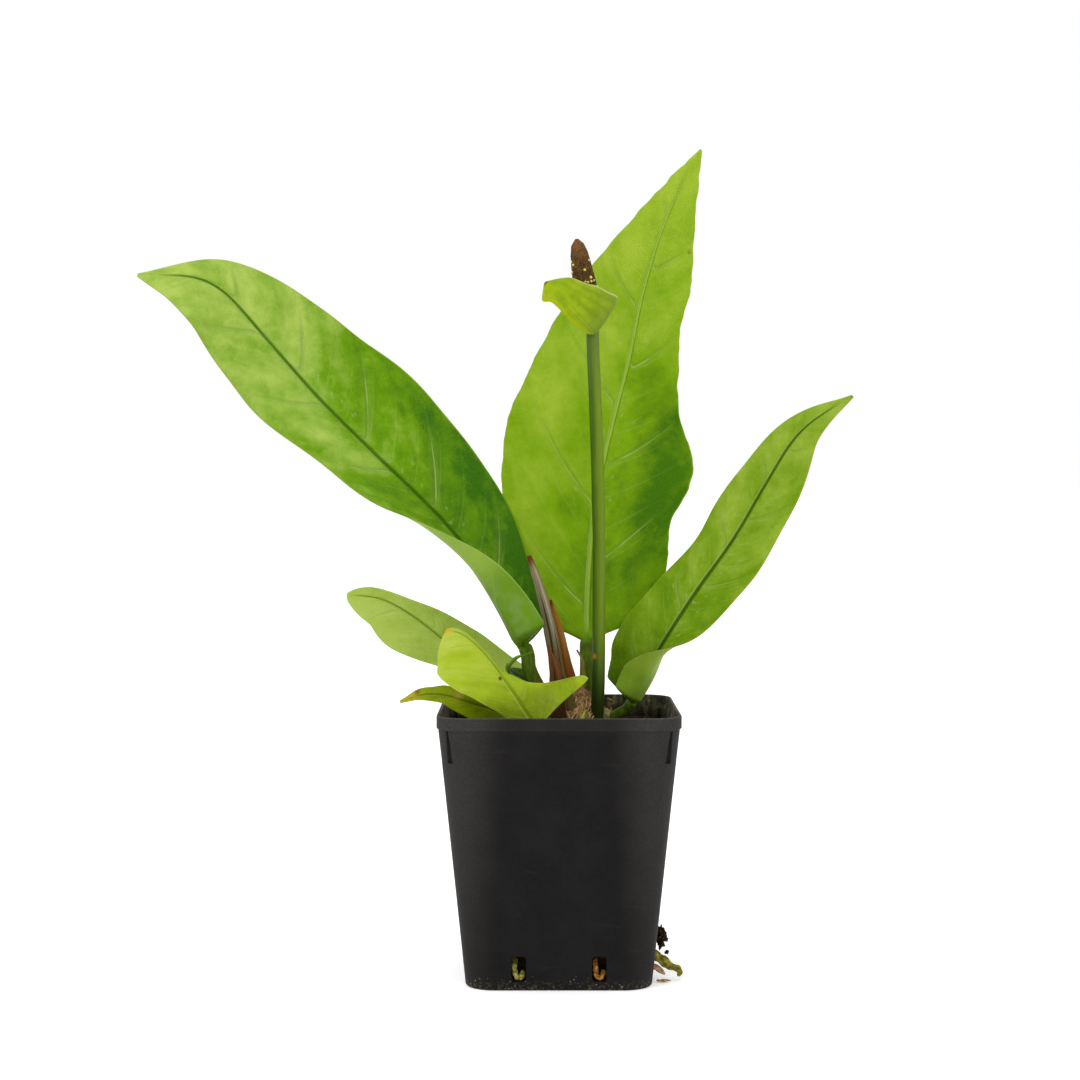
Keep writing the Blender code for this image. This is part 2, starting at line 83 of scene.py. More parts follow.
def rgb(red, green, blue):
    """The base colour of a face that looks like this, of 0 to 255, in the room."""
    out = []
    for c in (red, green, blue):
        c /= 255.0
        out.append((c / 12.92 if c <= 0.04045 else ((c + 0.055) / 1.055) ** 2.4) / ROOM_LIGHT)
    return (*out, 1.0)


class Value:
    """An output in a finish. Arithmetic on it adds Math nodes."""

    def __init__(self, finish, socket):
        self.finish = finish
        self.socket = socket

    def maths(self, operation, *terms):
        return self.finish.node("ShaderNodeMath", {"operation": operation}, dict(enumerate(terms)))

    def __add__(self, other):
        return self.maths("ADD", self, other)

    def __radd__(self, other):
        return self.maths("ADD", other, self)

    def __sub__(self, other):
        return self.maths("SUBTRACT", self, other)

    def __rsub__(self, other):
        return self.maths("SUBTRACT", other, self)

    def __mul__(self, other):
        return self.maths("MULTIPLY", self, other)

    def __rmul__(self, other):
        return self.maths("MULTIPLY", other, self)

    def __truediv__(self, other):
        return self.maths("DIVIDE", self, other)

    def __rtruediv__(self, other):
        return self.maths("DIVIDE", other, self)

    def __abs__(self):
        return self.maths("ABSOLUTE", self)

    def sine(self):
        return self.maths("SINE", self)

    def cosine(self):
        return self.maths("COSINE", self)

    def fraction(self):
        return self.maths("FRACT", self)

    def rise(self, low, high):
        """0 below low, 1 above high, eased between. It falls where low is the larger."""
        if low > high:
            return 1.0 - self.rise(high, low)
        return self.finish.node("ShaderNodeMapRange", {"interpolation_type": "SMOOTHSTEP"},
                                {0: self, 1: low, 2: high, 3: 0.0, 4: 1.0})

    def held(self):
        """No less than 0 and no more than 1."""
        return self.finish.node("ShaderNodeClamp", {}, {0: self, 1: 0.0, 2: 1.0})


class Finish:
    """A material and the nodes that give it its colour, gloss and grain."""

    def __init__(self, name, roughness=0.5, specular=0.5):
        self.material = bpy.data.materials.new(name)
        self.material.use_nodes = True
        self.tree = self.material.node_tree
        self.shader = self.tree.nodes["Principled BSDF"]
        self.shader.inputs["Roughness"].default_value = roughness
        self.shader.inputs["Specular IOR Level"].default_value = specular
        self.place = self.node("ShaderNodeTexCoord", {}, {}, "Object")

    def node(self, kind, settings=None, values=None, out=0):
        """A node of a kind: its settings first, then the values or links of its sockets."""
        made = self.tree.nodes.new(kind)
        for key, value in (settings or {}).items():
            if key == "stops":
                ramp = made.color_ramp
                while len(ramp.elements) < len(value):
                    ramp.elements.new(0.5)
                for stop, (spot, colour) in zip(ramp.elements, value):
                    stop.position = spot
                    stop.color = colour
            else:
                setattr(made, key, value)
        for key, value in (values or {}).items():
            if isinstance(value, Value):
                self.tree.links.new(value.socket, made.inputs[key])
            else:
                made.inputs[key].default_value = value
        return Value(self, made.outputs[out])

    def attribute(self, name):
        return self.node("ShaderNodeAttribute", {"attribute_name": name}, {}, "Fac")

    def stretched(self, x, y, z):
        """The place with each axis scaled, so that a grain is long where the scale is small."""
        return self.node("ShaderNodeMapping", {}, {"Vector": self.place, "Scale": (x, y, z)})

    def noise(self, size, detail=3.0, vector=None, roughness=0.55, distortion=0.0):
        """Cloudy noise with features of about size millimetres."""
        return self.node("ShaderNodeTexNoise", {}, {
            "Vector": vector or self.place, "Scale": 1 / (size * MM), "Detail": detail,
            "Roughness": roughness, "Distortion": distortion})

    def grain(self, vector, scale, detail, roughness=0.5):
        """Noise that runs along the lines that a vector follows."""
        return self.node("ShaderNodeTexNoise", {}, {
            "Vector": vector, "Scale": scale, "Detail": detail, "Roughness": roughness})

    def cells(self, size, feature="F1"):
        return self.node("ShaderNodeTexVoronoi", {"feature": feature}, {
            "Vector": self.place, "Scale": 1 / (size * MM)}, "Distance")

    def mix(self, share, first, second):
        return self.node("ShaderNodeMix", {"data_type": "RGBA"}, {0: share, 6: first, 7: second}, 2)

    def ramp(self, share, *stops):
        return self.node("ShaderNodeValToRGB", {"stops": stops}, {0: share}, "Color")

    def axis(self, name):
        """One coordinate of the spot on the piece, in millimetres."""
        split = self.node("ShaderNodeSeparateXYZ", {}, {0: self.place}, name)
        return split * (1 / MM)

    def near(self, spot, radius):
        """1 at a spot in millimetres, falling to 0 at radius."""
        gap = self.node("ShaderNodeVectorMath", {"operation": "DISTANCE"}, {
            0: self.place, 1: tuple(c * MM for c in spot)}, "Value")
        return (gap * (1 / MM)).rise(radius, radius * 0.35)

    def bump(self, height, depth, strength=1.0):
        """Tilts the normal by a height of 0 to 1 times depth millimetres."""
        return self.node("ShaderNodeBump", {}, {
            "Strength": strength, "Distance": depth * MM, "Height": height})

    def wear(self, **sockets):
        """Links the shader's sockets and gives back the material."""
        for name, value in sockets.items():
            self.tree.links.new(value.socket, self.shader.inputs[name.replace("_", " ")])
        return self.material


def leaf_finish(name, deep, mid, pale, vein, margin, back, stalk, tone, vein_strength=0.75,
                rib_width=1.1, rib_tone=None, gloss=0.42, marks=()):
    """A living leaf: greens that follow its veins, a rib, fine side veins and a thin pale margin.

    tone(along, across, mottle) gives how pale the blade is from 0 to 1.
    marks are (spot, radius, colour) patches: stains, and painted highlights and painted shade.
    """
    f = Finish(name, roughness=gloss, specular=0.05)
    along, across = f.attribute("along"), f.attribute("across")
    reach, phase, side = f.attribute("reach"), f.attribute("phase"), f.attribute("side")
    lines = f.node("ShaderNodeCombineXYZ", {}, {0: phase, 1: reach * 0.022, 2: side * 3.0})
    bands = f.grain(lines, 2.6, 3.0, 0.5)
    creases = f.grain(lines, 13.0, 2.0, 0.6)
    patches = f.noise(24, 2.0)
    mottle = bands * 0.38 + patches * 0.32 + f.noise(5.0, 3.0) * 0.22 + f.noise(1.6, 2.0) * 0.08
    mottle = (mottle - 0.5) * 1.55 + 0.5

    # the open blade's green, with painted light and shade on the swellings between its veins
    off_vein = abs((phase + 0.5).fraction() - 0.5)
    blade_share = along.rise(0.0, 0.05)
    open_share = abs(across).rise(0.95, 0.3) * blade_share * along.rise(0.97, 0.8)
    pillow_shade = (phase * math.tau).sine() * abs(across).rise(0.0, 0.4) * open_share
    share = (tone(along, across, mottle) + pillow_shade * 0.07).held()
    colour = f.ramp(share, (0.0, deep), (0.45, mid), (1.0, pale))
    fine = f.noise(0.5, 2.0)
    grain = f.cells(0.75, "DISTANCE_TO_EDGE")
    colour = f.mix((fine - 0.42).held() * 0.3, colour, pale)

    # side veins, each with a pale halo and a dark line beside it
    breakup = f.noise(9, 1.0).rise(0.32, 0.6) * 0.75 + 0.25
    line = off_vein.rise(0.017, 0.006) * open_share * breakup
    off_small_vein = abs((phase * 3.0 + reach * 0.02 + 0.5).fraction() - 0.5)
    small_vein = off_small_vein.rise(0.04, 0.01) * open_share * patches
    halo = off_vein.rise(0.12, 0.0) * open_share
    colour = f.mix(halo * 0.16, colour, pale)
    colour = f.mix(small_vein * 0.35, colour, vein)
    shade_line = ((phase + 0.53).fraction() - 0.5).rise(0.0, 0.02) * off_vein.rise(0.07, 0.02) * open_share
    colour = f.mix(shade_line * 0.28, colour, deep)
    colour = f.mix(line * vein_strength, colour, vein)
    sheen = creases.rise(0.6, 0.72) * abs(reach).rise(15.0, 4.0)
    sheen = sheen * along.rise(0.1, 0.3) * along.rise(0.85, 0.6)
    colour = f.mix(sheen * 0.34, colour, rgb(164, 190, 122))

    # the rib, lit on one side and shaded on the other, and the margin
    width = rib_width * (1.15 - along.held() * 0.75)
    off_rib = abs(reach) / width
    rib = off_rib.rise(1.0, 0.45) * blade_share * along.rise(0.99, 0.9)
    colour = f.mix(rib * 0.85, colour, rib_tone or deep)
    rib_light = abs((reach + width * 0.95) / width).rise(0.42, 0.1) * blade_share * along.rise(0.98, 0.85)
    colour = f.mix(rib_light * 0.7, colour, vein)
    rib_dark = abs((reach - width * 0.9) / width).rise(0.5, 0.1) * blade_share * along.rise(0.98, 0.85)
    colour = f.mix(rib_dark * 0.45, colour, deep)
    rim = abs(across).rise(0.978, 0.993) * blade_share
    colour = f.mix(rim * 0.6, colour, margin)

    # the underside, duller and with raised veins
    under_share = side.rise(0.6, 0.4)
    back_colour = f.mix(mottle.rise(0.35, 0.65) * 0.4, back, mid)
    # painted sheen: pale grey-green patches on the underside
    pale_sheen = patches.rise(0.5, 0.66) * f.noise(6, 2.0).rise(0.4, 0.6)
    back_colour = f.mix(pale_sheen * 0.26, back_colour, rgb(140, 164, 110))
    back_colour = f.mix(line * 0.4, back_colour, vein)
    back_colour = f.mix(along.rise(0.12, 0.2) * 0.5, back_colour, pale)
    back_rib = off_rib.rise(2.4, 1.0) * blade_share
    back_colour = f.mix(back_rib * 0.45, back_colour, vein)
    back_colour = f.mix(rim * 0.8, back_colour, vein)
    colour = f.mix(under_share, colour, back_colour)

    # the stalk, the marks (stains, painted highlights and painted shade) and the surface
    streak = f.noise(1.2, 3.0, f.stretched(1, 1, 0.12))
    stalk_colour = f.mix(streak.rise(0.35, 0.7) * 0.4, stalk, mid)
    stalk_share = along.rise(0.03, -0.05)
    colour = f.mix(stalk_share, colour, stalk_colour)
    for spot, radius, mark_colour in marks:
        colour = f.mix(f.near(spot, radius) * f.noise(1.5, 2.0).rise(0.3, 0.5), colour, mark_colour)
    height = grain.rise(0.0, 0.25) * 0.2 + fine * 0.2 + creases * 0.9 + mottle - line * 0.4 - rib * 0.6
    rough = gloss + (mottle - 0.5) * 0.3 + under_share * 0.06
    return f.wear(Base_Color=colour, Roughness=rough, Normal=f.bump(height, 0.34, 0.8))


def plastic_finish():
    """Matte charcoal plastic, with a painted sheen along the collar and on the rounded corners, broken up by
    dust, and mineral marks inside.
    """
    f = Finish("pot plastic charcoal", roughness=0.6, specular=0.06)
    x, y, z = f.axis("X"), f.axis("Y"), f.axis("Z")
    cloud = f.noise(14, 4.0)
    fine = f.noise(0.45, 3.0)
    drag = f.noise(3.0, 4.0, f.stretched(1.0, 1.0, 0.12))
    colour = f.mix(cloud.rise(0.35, 0.7), rgb(20, 19, 19), rgb(27, 26, 26))
    colour = f.mix(fine.rise(0.5, 0.75) * 0.3, colour, rgb(44, 42, 42))
    corner = (abs(x) * abs(y)).rise(760, 1500)
    collar = z.rise(HEIGHT - 6.5, HEIGHT - 4.0)
    dust = f.noise(0.8, 5.0, roughness=0.7).rise(0.35, 0.75)
    # painted sheen on the collar and the rounded corners, in dusty patches
    pale_sheen = (collar * 0.1 + corner * 0.24 + 0.015) * (0.62 + 0.38 * dust)
    colour = f.mix(pale_sheen.held(), colour, rgb(100, 96, 92))
    lip = z.rise(HEIGHT - 0.55, HEIGHT - 0.15)
    colour = f.mix(lip * (0.16 + 0.4 * dust), colour, rgb(104, 100, 90))
    inner_gap = f.attribute("inside")
    streaks = drag.rise(0.42, 0.72) * f.noise(2.0, 3.0).rise(0.35, 0.6)
    mineral = f.mix(f.noise(5, 3.0).rise(0.4, 0.65), rgb(104, 98, 76), rgb(156, 152, 124))
    inner = f.mix(streaks * 0.8 + 0.2, rgb(26, 25, 21), mineral)
    inner = f.mix(z.rise(HEIGHT - 6.0, HEIGHT - 8.5) * 0.7, inner, rgb(24, 21, 17))
    colour = f.mix(inner_gap, colour, inner)
    foot = z.rise(5.0, 0.4) * f.noise(1.1, 4.0).rise(0.5, 0.66) * (1.0 - inner_gap)
    colour = f.mix(foot * 0.55, colour, rgb(104, 88, 64))
    grit = f.cells(1.7).rise(0.2, 0.12) * z.rise(7.0, 1.5) * f.noise(6, 2.0).rise(0.46, 0.6)
    colour = f.mix(grit * 0.7 * (1.0 - inner_gap), colour, rgb(168, 160, 146))
    scuff = f.noise(2.2, 2.0, f.stretched(0.16, 0.16, 1.0)).rise(0.66, 0.74)
    colour = f.mix(scuff * 0.05, colour, rgb(80, 78, 78))
    rough = 0.56 + (cloud - 0.5) * 0.16 + pale_sheen * 0.4
    height = fine * 0.5 + f.noise(4, 2.0) * 0.4 + dust * 0.4
    return f.wear(Base_Color=colour, Roughness=rough, Normal=f.bump(height, 0.06, 0.7))


def mix_finish():
    """Dark peat with paler bits of bark."""
    f = Finish("potting mix", roughness=0.92, specular=0.08)
    lumps = f.noise(3.2, 4.0)
    bits = f.cells(1.6)
    colour = f.ramp(lumps, (0.3, rgb(20, 15, 11)), (0.55, rgb(46, 34, 24)), (0.75, rgb(84, 62, 42)))
    colour = f.mix(bits.rise(0.22, 0.1) * 0.35, colour, rgb(132, 104, 72))
    height = lumps * 0.7 + f.noise(0.7, 4.0) * 0.5
    return f.wear(Base_Color=colour, Roughness=0.85 + lumps * 0.12, Normal=f.bump(height, 0.7))


def bark_finish():
    """Dry tan and brown fibres of the stem base."""
    f = Finish("stem bark", roughness=0.88, specular=0.1)
    grain = f.noise(1.3, 4.0, f.stretched(1.0, 1.0, 0.3), distortion=0.6)
    patch = f.noise(5, 2.0)
    colour = f.ramp(grain, (0.26, rgb(52, 34, 18)), (0.42, rgb(142, 104, 60)), (0.56, rgb(196, 160, 108)),
                    (0.74, rgb(230, 208, 166)))
    colour = f.mix(patch.rise(0.54, 0.7) * 0.5, colour, rgb(90, 56, 28))
    return f.wear(Base_Color=colour, Roughness=0.8 + grain * 0.15, Normal=f.bump(grain, 0.5))


def stem_finish():
    """The flower's stalk: a painted lit strip on its left, painted shade on its right, and dark at its foot.
    """
    f = Finish("flower stalk", roughness=0.42, specular=0.12)
    z, turn = f.axis("Z"), f.attribute("turn")
    streak = f.noise(0.9, 3.0, f.stretched(1.0, 1.0, 0.06))
    ribs = (turn * 42.0).sine() * 0.5 + 0.5
    colour = f.mix(streak.rise(0.35, 0.7), rgb(74, 104, 4), rgb(92, 122, 10))
    # painted light on one side of the stalk and painted shade on the other
    light = (turn - 2.6).cosine().rise(0.2, 1.0)
    colour = f.mix(light * 0.6, colour, rgb(132, 158, 34))
    shade = (turn - 0.1).cosine().rise(0.1, 0.9)
    colour = f.mix(shade * 0.55, colour, rgb(48, 76, 2))
    colour = f.mix(ribs * 0.12, colour, rgb(48, 74, 4))
    foot = z.rise(CROWN[2] + 40, CROWN[2] + 6)
    colour = f.mix(foot * 0.85, colour, rgb(12, 18, 0))
    top = z.rise(CROWN[2] + 118, CROWN[2] + 152)
    colour = f.mix(top * 0.45, colour, rgb(84, 106, 56))
    colour = f.mix(f.near(CROWN + (5.2, -8, 27), 1.6) * 0.8, colour, rgb(188, 112, 20))
    speck = f.cells(2.6).rise(0.1, 0.05)
    colour = f.mix(speck * 0.35, colour, rgb(150, 170, 90))
    return f.wear(Base_Color=colour, Normal=f.bump(ribs * 0.6 + streak * 0.4, 0.08))


def spathe_finish():
    """Lime, with fan-like darker veins, grey-green at the foot and a pale rim."""
    f = Finish("spathe lime", roughness=0.45, specular=0.1)
    along, across, side = f.attribute("along"), f.attribute("across"), f.attribute("side")
    mottle = f.noise(4.5, 3.0)
    fan = (across * 24.0 + f.noise(5, 2.0) * 4.0).sine() * 0.5 + 0.5
    colour = f.mix(mottle.rise(0.3, 0.7), rgb(130, 158, 2), rgb(154, 178, 14))
    colour = f.mix(fan.rise(0.3, 1.0) * 0.26 * along.rise(0.95, 0.3), colour, rgb(94, 128, 0))
    foot = along.rise(0.42, 0.02)
    colour = f.mix(foot * 0.6, colour, rgb(96, 120, 40))
    colour = f.mix(side.rise(0.6, 0.4) * 0.35, colour, rgb(184, 200, 60))
    rim = across.rise(0.93, 0.975)
    colour = f.mix(rim * 0.7, colour, rgb(206, 206, 140))
    tip = along.rise(0.955, 0.99)
    colour = f.mix(tip * 0.85, colour, rgb(112, 64, 24))
    left = across.rise(-0.35, -0.9)
    colour = f.mix(left * 0.5, colour, rgb(186, 192, 2))
    return f.wear(Base_Color=colour, Normal=f.bump(fan * 0.4 + mottle * 0.5, 0.12))


def spadix_finish():
    """Brown, redder toward the tip and greener at the foot."""
    f = Finish("spadix brown", roughness=0.75, specular=0.12)
    patch = f.noise(2.4, 3.0)
    fine = f.noise(0.5, 2.0)
    colour = f.ramp(fine * 0.6 + patch * 0.4, (0.3, rgb(40, 26, 6)),
                    (0.5, rgb(84, 58, 24)), (0.72, rgb(150, 116, 66)))
    top = f.axis("Z").rise(CROWN[2] + 174, CROWN[2] + 184)
    colour = f.mix(top * 0.35, colour, rgb(150, 100, 66))
    green = f.axis("Z").rise(CROWN[2] + 170, CROWN[2] + 154)
    colour = f.mix(green * 0.25, colour, rgb(74, 66, 14))
    return f.wear(Base_Color=colour, Normal=f.bump(fine, 0.12))


def pollen_finish():
    f = Finish("pollen yellow", roughness=0.6)
    return f.wear(Base_Color=f.mix(f.noise(0.6, 2.0).rise(0.3, 0.7), rgb(196, 186, 50), rgb(236, 228, 120)))


def husk_finish(name, base, middle, light, tip, slits, edge, low):
    """A dry papery sheath: fibres along it, dark slits, a pale shine and a darker tip.

    The colours are its three shades, its tip, its right edge and its lower half.
    """
    f = Finish(name, roughness=0.75, specular=0.12)
    along, across, side = f.attribute("along"), f.attribute("across"), f.attribute("side")
    lines = f.node("ShaderNodeCombineXYZ", {}, {0: across * 7.0, 1: along * 1.3, 2: side})
    fibre = f.grain(lines, 1.6, 5.0, 0.7)
    patch = f.noise(6, 2.0)
    colour = f.ramp(fibre, (0.3, base), (0.5, middle), (0.68, light))
    colour = f.mix(patch.rise(0.45, 0.75) * 0.5, colour, middle)
    colour = f.mix(along.rise(0.62, 0.3) * 0.75, colour, low)
    dark = f.grain(lines, 1.5, 2.0).rise(0.55, 0.62)
    colour = f.mix(dark * slits * along.rise(0.95, 0.6), colour, rgb(32, 22, 12))
    slit = abs(across + 0.2 + (fibre - 0.5) * 0.7).rise(0.2, 0.06)
    slit = slit * along.rise(0.9, 0.6) * along.rise(0.15, 0.4)
    colour = f.mix(slit * slits * 0.85, colour, rgb(36, 24, 12))
    shine = abs(across - 0.25 + (fibre - 0.5) * 0.5).rise(0.22, 0.05) * along.rise(0.4, 0.7) * slits
    colour = f.mix(shine * 0.5, colour, light)
    colour = f.mix(along.rise(0.9, 0.985), colour, tip)
    colour = f.mix(along.rise(0.22, 0.0) * 0.55, colour, base)
    colour = f.mix(across.rise(0.8, 0.97) * 0.7, colour, edge)
    return f.wear(Base_Color=colour, Normal=f.bump(fibre, 0.35))


def root_finish(name, dark, mid, light, size=1.6):
    """Patches of three shades, size millimetres across, with dark specks."""
    f = Finish(name, roughness=0.7, specular=0.15)
    patch = f.noise(size, 4.0)
    colour = f.ramp(patch, (0.32, dark), (0.5, mid), (0.68, light))
    specks = f.cells(0.9).rise(0.16, 0.07)
    colour = f.mix(specks * 0.6, colour, rgb(36, 24, 12))
    return f.wear(Base_Color=colour, Normal=f.bump(patch + f.noise(0.5, 3.0) * 0.4, 0.22))


# ---------------------------------------------------------------- shapes

def along_list(values, share):
    """The value at a share of a list, on a smooth curve through its entries."""
    v = np.asarray(values, dtype=float)
    if len(v) == 1:
        return v[0]
    s = min(max(share, 0.0), 1.0) * (len(v) - 1)
    i = min(int(s), len(v) - 2)
    f = s - i
    b, c = v[i], v[i + 1]
    a = v[i - 1] if i > 0 else 2 * b - c
    d = v[i + 2] if i + 2 < len(v) else 2 * c - b
    square = 2 * a - 5 * b + 4 * c - d
    cube = 3 * b - a - 3 * c + d
    return 0.5 * (2 * b + (c - a) * f + square * f ** 2 + cube * f ** 3)


def unit(v):
    return v / np.linalg.norm(v)


def ease(x):
    """0 below 0, 1 above 1, and a smooth step between."""
    x = min(max(x, 0.0), 1.0)
    return x * x * (3 - 2 * x)


def in_metres(points):
    return [tuple(np.asarray(p, dtype=float) * MM) for p in points]


def set_out(name, data):
    """A new object in the scene, at the origin."""
    piece = bpy.data.objects.new(name, data)
    bpy.context.scene.collection.objects.link(piece)
    return piece


def wander(seed, spot, size):
    """Smooth noise from -1 to 1 along a number."""
    return noise.noise(Vector((spot / size, seed * 7.31, 0.5)))


def make(name, points, faces, finish, marks=None, sharp=40.0):
    """A smooth mesh object from millimetre points, with named numbers on its points."""
    mesh = bpy.data.meshes.new(name)
    mesh.from_pydata(in_metres(points), [], faces)
    for key, values in (marks or {}).items():
        mark = mesh.attributes.new(key, "FLOAT", "POINT")
        mark.data.foreach_set("value", np.asarray(values, dtype=np.float32))
    shape = bmesh.new()
    shape.from_mesh(mesh)
    bmesh.ops.recalc_face_normals(shape, faces=shape.faces)
    if shape.calc_volume(signed=True) < 0:
        bmesh.ops.reverse_faces(shape, faces=shape.faces)
    for face in shape.faces:
        face.smooth = True
    shape.to_mesh(mesh)
    shape.free()
    mesh.materials.append(finish)
    mesh.set_sharp_from_angle(angle=math.radians(sharp))
    return set_out(name, mesh)


def loft(rings):
    """The points and faces of a skin through rings of the same count, closed at both ends."""
    count = len(rings[0])
    points = [p for ring in rings for p in ring]
    faces = [tuple(reversed(range(count)))]
    for r in range(len(rings) - 1):
        for i in range(count):
            j = (i + 1) % count
            faces.append((r * count + i, r * count + j, (r + 1) * count + j, (r + 1) * count + i))
    faces.append(tuple(range((len(rings) - 1) * count, len(rings) * count)))
    return points, faces


def settle(piece, slot, *nodes):
    """Puts a finished piece on the body and hides the nodes it stands for. The slot is not used."""
    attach(piece, "root")
    if nodes:
        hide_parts(*nodes)


def plain(piece):
    """The piece with its modifiers worked out, as a mesh of its own."""
    bpy.context.view_layer.update()
    graph = bpy.context.evaluated_depsgraph_get()
    mesh = bpy.data.meshes.new_from_object(piece.evaluated_get(graph))
    name = piece.name
    bpy.data.objects.remove(piece)
    return set_out(name, mesh)


VEIN_SLOPE = 0.75  # how steeply the side veins leave the rib
VEIN_BEND = 0.35  # how much they bend on toward the margin
SIDE_SHIFT = 0.31  # how far the two sides' veins are out of step, as a share of their gap


def blade(name, finish, rib, face, left, right, stalk=(), lift=((0,), (0,)), curl=((0,), (0,)),
          radius=PETIOLE, thickness=BLADE, base=0.06, keel=1.0, rows=120, stalk_rows=26, tip=0.4,
          half_columns=22, opening=0.08, blunt=0.0, smoothing=0, round_foot=False, steady=None,
          ripple=0.0, ripple_length=34.0, vein_gap=24.0, pillow=0.0, groove=0.0, rough_edge=0.0, seed=1):
    """A leaf, spathe or sheath as one closed skin: a round stalk that opens along its rib.

    left and right are half-widths in millimetres, lift and curl are degrees for each half, and
    face is the way that the blade looks, each as a list from the blade's foot to its tip.
    base, opening and blunt are shares of the blade: its rounded foot, the stretch where the
    stalk flattens, and its rounded tip. steady is (share, amount): past that share the blade's
    sideways direction is held. ripple, pillow, groove and rough_edge are depths in millimetres:
    waves toward the margin, swelling between side veins, the sunken rib, and small faults of
    the outline.
    """
    route = np.array(list(stalk) + list(rib), dtype=float)
    first = len(stalk) / (len(route) - 1)
    spread = np.linspace(-1, 1, 2 * half_columns + 1)
    columns = np.sign(spread) * np.abs(spread) ** 1.35

    def spot(t):
        return along_list(route, first + t * (1 - first) if t >= 0 else first * (1 + t))

    # where the rings stand: from -1 to 0 along the stalk, and 0 to 1 along the blade
    steps = []
    if stalk:
        steps += [-1 + 0.98 * i / stalk_rows for i in range(stalk_rows)]
        steps += [-0.02 + 0.06 * i / 12 for i in range(12)]
        steps += [0.04 + 0.96 * (1 - (1 - i / rows) ** 1.2) for i in range(rows + 1)]
    else:
        steps += [0.5 - 0.5 * math.cos(math.pi * i / rows) for i in range(rows + 1)]

    # how far along the route each ring is, in millimetres
    runs, before, total = [], None, 0.0
    for t in steps:
        here = spot(t)
        if before is not None:
            total += np.linalg.norm(here - before)
        before = here
        runs.append(total)
    start = next(run for run, t in zip(runs, steps) if t >= 0)

    rings, marks = [], {key: [] for key in ("across", "along", "reach", "phase", "side")}
    for t, run in zip(steps, runs):
        run -= start
        heading = unit(spot(min(t + 0.01, 1)) - spot(max(t - 0.01, -1 if stalk else 0)))
        look = along_list(face, max(t, 0))
        normal = unit(look - look @ heading * heading)
        sideways = np.cross(heading, normal)
        if steady and t <= steady[0]:
            kept = sideways
        elif steady:
            share = steady[1] * ease((t - steady[0]) / 0.08)
            sideways = unit(sideways * (1 - share) + kept * share)
        centre = spot(t)
        opened = ease((t + 0.02) / opening) if stalk else 1.0
        width, angle, turn = [], [], []
        for half in (0, 1):
            w = float(along_list((left, right)[half], max(t, 0)))
            if t < base and (stalk or round_foot):
                w *= math.sqrt(max(0.0, 1 - (1 - max(t, 0) / base) ** 2))
            if blunt and t > 1 - blunt:
                w *= math.sqrt(max(0.0, 1 - ((t - 1 + blunt) / blunt) ** 2))
            faults = 1.3 * wander(seed + 2 + half, run, 15.0) + wander(seed + half, run, 6.0)
            w += rough_edge * (faults + 0.5 * wander(seed + 5 + half, run, 2.6)) * ease(t * 8)
            width.append(max(w, tip))
            angle.append(math.radians(float(along_list(lift[half], max(t, 0)))))
            turn.append(math.radians(float(along_list(curl[half], max(t, 0)))))

        # the cross-section: each half has a width w, lifts by a and curls by c more over that width
        x = columns
        on_left = x < 0
        sign = np.where(on_left, -1.0, 1.0)
        w = np.where(on_left, width[0], width[1])
        a = np.where(on_left, angle[0], angle[1])
        c = np.where(on_left, turn[0], turn[1])
        c = np.where(np.abs(c) < 1e-3, 1e-3, c)
        reach = np.abs(x) * w
        slope = a + c * np.abs(x)
        out = w / c * (np.sin(slope) - np.sin(a))
        up = -w / c * (np.cos(slope) - np.cos(a))
        rise = np.cos(slope)[:, None] * normal - (sign * np.sin(slope))[:, None] * sideways
        middle = centre + (sign * out)[:, None] * sideways + up[:, None] * normal

        # the side veins, and the waves and swellings that go with them
        phase = run - VEIN_SLOPE * reach - VEIN_BEND * reach ** 2 / np.maximum(w, 6.0)
        phase = phase / vein_gap + SIDE_SHIFT * np.tanh(sign * reach)
        ends = ease(t * 6) * ease((1 - t) * 6)
        wave = np.array([wander(seed + (9 if s < 0 else 11), run, ripple_length / 2.2) for s in sign])
        height = ripple * 1.6 * wave * np.abs(x) ** 2 * ends
        height += pillow * (np.sin(math.pi * phase) ** 2 - 0.5) * 4 * np.abs(x) * (1 - np.abs(x)) * ends
        height -= groove * np.exp(-(reach / 0.9) ** 2) * ends
        middle = middle + height[:, None] * rise

        # the two faces of the skin, from the round stalk to the thin blade
        skin = thickness / 2 * (1 - 0.6 * x * x)
        rounding = radius * 1.3 * keel * (1 - max(t, 0)) ** 1.3 * np.exp(-(reach / (radius * 1.1)) ** 2)
        bend = np.radians(80 * spread)
        ring_x, ring_up = radius * np.sin(bend), radius * np.cos(bend)
        round_top = centre + ring_x[:, None] * sideways + ring_up[:, None] * normal
        round_under = centre + ring_x[:, None] * sideways - ring_up[:, None] * normal
        thin_top = middle + skin[:, None] * rise
        thin_under = middle - (skin + rounding)[:, None] * rise
        top = round_top + (thin_top - round_top) * opened
        under = round_under + (thin_under - round_under) * opened
        rings.append(list(top) + list(under[::-1]))
        marks["across"] += list(x) + list(x[::-1])
        marks["along"] += [t] * (2 * len(x))
        marks["reach"] += list(sign * reach) + list((sign * reach)[::-1])
        marks["phase"] += list(phase) + list(phase[::-1])
        marks["side"] += [1.0] * len(x) + [0.0] * len(x)

    # each ring is eased toward its neighbours, where the outline turns too sharply
    skin_rows = np.array(rings)
    eased = [i for i, t in enumerate(steps) if 0.08 < t and 3 < i < len(steps) - 3]
    for _ in range(smoothing):
        middle = skin_rows[eased] * 0.5
        skin_rows[eased] = middle + (skin_rows[np.array(eased) - 1] + skin_rows[np.array(eased) + 1]) * 0.25
    return make(name, *loft(list(skin_rows)), finish, marks, sharp=75)


